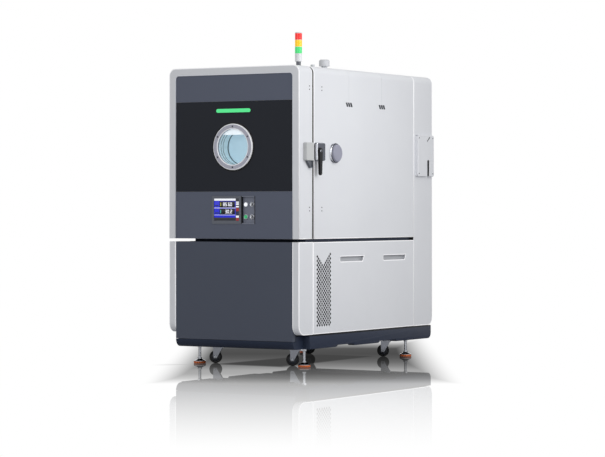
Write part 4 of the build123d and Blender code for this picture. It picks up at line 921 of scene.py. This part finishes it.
# Studio: a white floor that mirrors the chamber less and less with distance, one soft shadow under it
# and one thrown back, a white surround, a large soft lamp beside the right side and a weak one in front.
FLOOR_REACH = 30
corners = np.array([[-1, -1], [1, -1], [1, 1], [-1, 1]]) * FLOOR_REACH
floor_mesh = bpy.data.meshes.new("floor")
floor_mesh.from_pydata([(x, y, 0.0) for x, y in corners], [], [(0, 1, 2, 3)])
floor = bpy.data.objects.new("floor", floor_mesh)
bpy.context.scene.collection.objects.link(floor)
floor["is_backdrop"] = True
SHADOW_HALF, SHADOW_FORWARD = (0.43, 0.79, 0), (0, 0.06, 0)
THROWN_FADE = ((-1.15, 1.0), (-0.75, 0.60), (-0.38, 0.42), (-0.05, 0.38), (0.31, 0.24), (0.68, 0.15),
               (1.07, 0.10), (1.5, 0.075), (2.1, 0.09), (2.5, 0.30), (3.3, 1.0))
THROWN_MIDDLE, THROWN_INNER, THROWN_OUTER = 0.035, 0.52, 0.86
UNDER_START, UNDER_END, UNDER_TONE = -0.26, 0.12, 0.06
MIRROR_REACH, MIRROR_CURVE, MIRROR_MOST = 4.6, 1.2, 0.8


def floor_material():
    """White to the camera, dimmed by the darker of two soft shadows, and mixed with a mirror whose
    share falls with the distance from the chamber. The first shadow grows under the chamber's outline:
    distance = length of the part of the point's place that lies outside the outline. The second is
    thrown back by the light from the camera's side: its tone follows the depth behind the nearest
    corner, and it fades out to both sides."""
    material = bpy.data.materials.new("floor_finish")
    material.use_nodes = True
    tree = material.node_tree
    tree.nodes.clear()

    def vector(operation, first, second=(0, 0, 0)):
        return node(tree, "ShaderNodeVectorMath", (0, first), (1, second), operation=operation).outputs

    def number(operation, first, second=0.0):
        return node(tree, "ShaderNodeMath", (0, first), (1, second), operation=operation).outputs[0]

    def mapped(feed, start, end, low, high, kind="LINEAR"):
        return node(tree, "ShaderNodeMapRange", ("Value", feed), ("From Min", start), ("From Max", end),
                    ("To Min", low), ("To Max", high), interpolation_type=kind).outputs[0]

    place = node(tree, "ShaderNodeTexCoord").outputs["Object"]
    away = vector("ABSOLUTE", vector("ADD", place, SHADOW_FORWARD)[0])[0]
    less = vector("SUBTRACT", away, SHADOW_HALF)[0]
    reach = vector("LENGTH", vector("MAXIMUM", less)[0])["Value"]
    sides = node(tree, "ShaderNodeSeparateXYZ", (0, less)).outputs
    inside = number("MINIMUM", number("MAXIMUM", sides["X"], sides["Y"]))
    under = mapped(number("ADD", inside, reach), UNDER_START, UNDER_END, UNDER_TONE, 1.0, "SMOOTHSTEP")
    from_corner = vector("SUBTRACT", place, near_corner)[0]
    depth = vector("DOT_PRODUCT", from_corner, forward)["Value"]
    beside = vector("DOT_PRODUCT", from_corner, sideways)["Value"]
    start, end = THROWN_FADE[0][0], THROWN_FADE[-1][0]
    stops = [((way - start) / (end - start), (tone, tone, tone, 1)) for way, tone in THROWN_FADE]
    fade = ramp(tree, mapped(depth, start, end, 0.0, 1.0), stops)
    breadth = number("ABSOLUTE", number("SUBTRACT", beside, THROWN_MIDDLE))
    flank = mapped(breadth, THROWN_INNER, THROWN_OUTER, 0.0, 1.0, "SMOOTHSTEP")
    thrown = number("MAXIMUM", fade, flank)
    shadow = number("MINIMUM", under, thrown)
    nearness = mapped(reach, 0.0, MIRROR_REACH, 1.0, 0.0)
    mirror_share = number("MULTIPLY", number("POWER", nearness, MIRROR_CURVE), MIRROR_MOST)
    white = node(tree, "ShaderNodeEmission", ("Color", shadow)).outputs[0]
    mirror = node(tree, "ShaderNodeBsdfGlossy", ("Color", shadow), ("Roughness", 0.0)).outputs[0]
    seen = node(tree, "ShaderNodeMixShader", (0, mirror_share), (1, white), (2, mirror)).outputs[0]
    plain = node(tree, "ShaderNodeBsdfDiffuse", ("Color", (0.55, 0.55, 0.56, 1))).outputs[0]
    camera_ray = node(tree, "ShaderNodeLightPath").outputs["Is Camera Ray"]
    choice = node(tree, "ShaderNodeMixShader", (0, camera_ray), (1, plain), (2, seen))
    node(tree, "ShaderNodeOutputMaterial", ("Surface", choice.outputs[0]))
    return material


floor.data.materials.append(floor_material())

world = bpy.data.worlds.new("surround")
bpy.context.scene.world = world
world.use_nodes = True
world_tree = world.node_tree
diffuse_ray = node(world_tree, "ShaderNodeLightPath").outputs["Is Diffuse Ray"]
strength = node(world_tree, "ShaderNodeMapRange", ("Value", diffuse_ray), ("To Min", 1.0), ("To Max", 0.66))
backdrop = world_tree.nodes["Background"]
world_tree.links.new(strength.outputs[0], backdrop.inputs["Strength"])
backdrop.inputs["Color"].default_value = (1, 1, 1, 1)


def softbox(name, place, target, size, power):
    """Rectangular lamp at a place, turned to face a target."""
    lamp = bpy.data.lights.new(name, "AREA")
    lamp.shape = "RECTANGLE"
    lamp.size, lamp.size_y = size
    lamp.energy = power
    holder = bpy.data.objects.new(name, lamp)
    holder.location = place
    aim = np.array(target) - np.array(place)
    holder.rotation_euler = (math.atan2(math.hypot(aim[0], aim[1]), -aim[2]), 0, math.atan2(-aim[0], aim[1]))
    bpy.context.scene.collection.objects.link(holder)
    return holder


softbox("side_lamp", (2.25, -0.62, 1.85), (0.45, -0.55, 1.45), (1.8, 1.8), 24)
softbox("front_lamp", (0.6, -7.0, 2.4), (0, -0.8, 1.1), (3, 2.4), 40)

low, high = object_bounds()
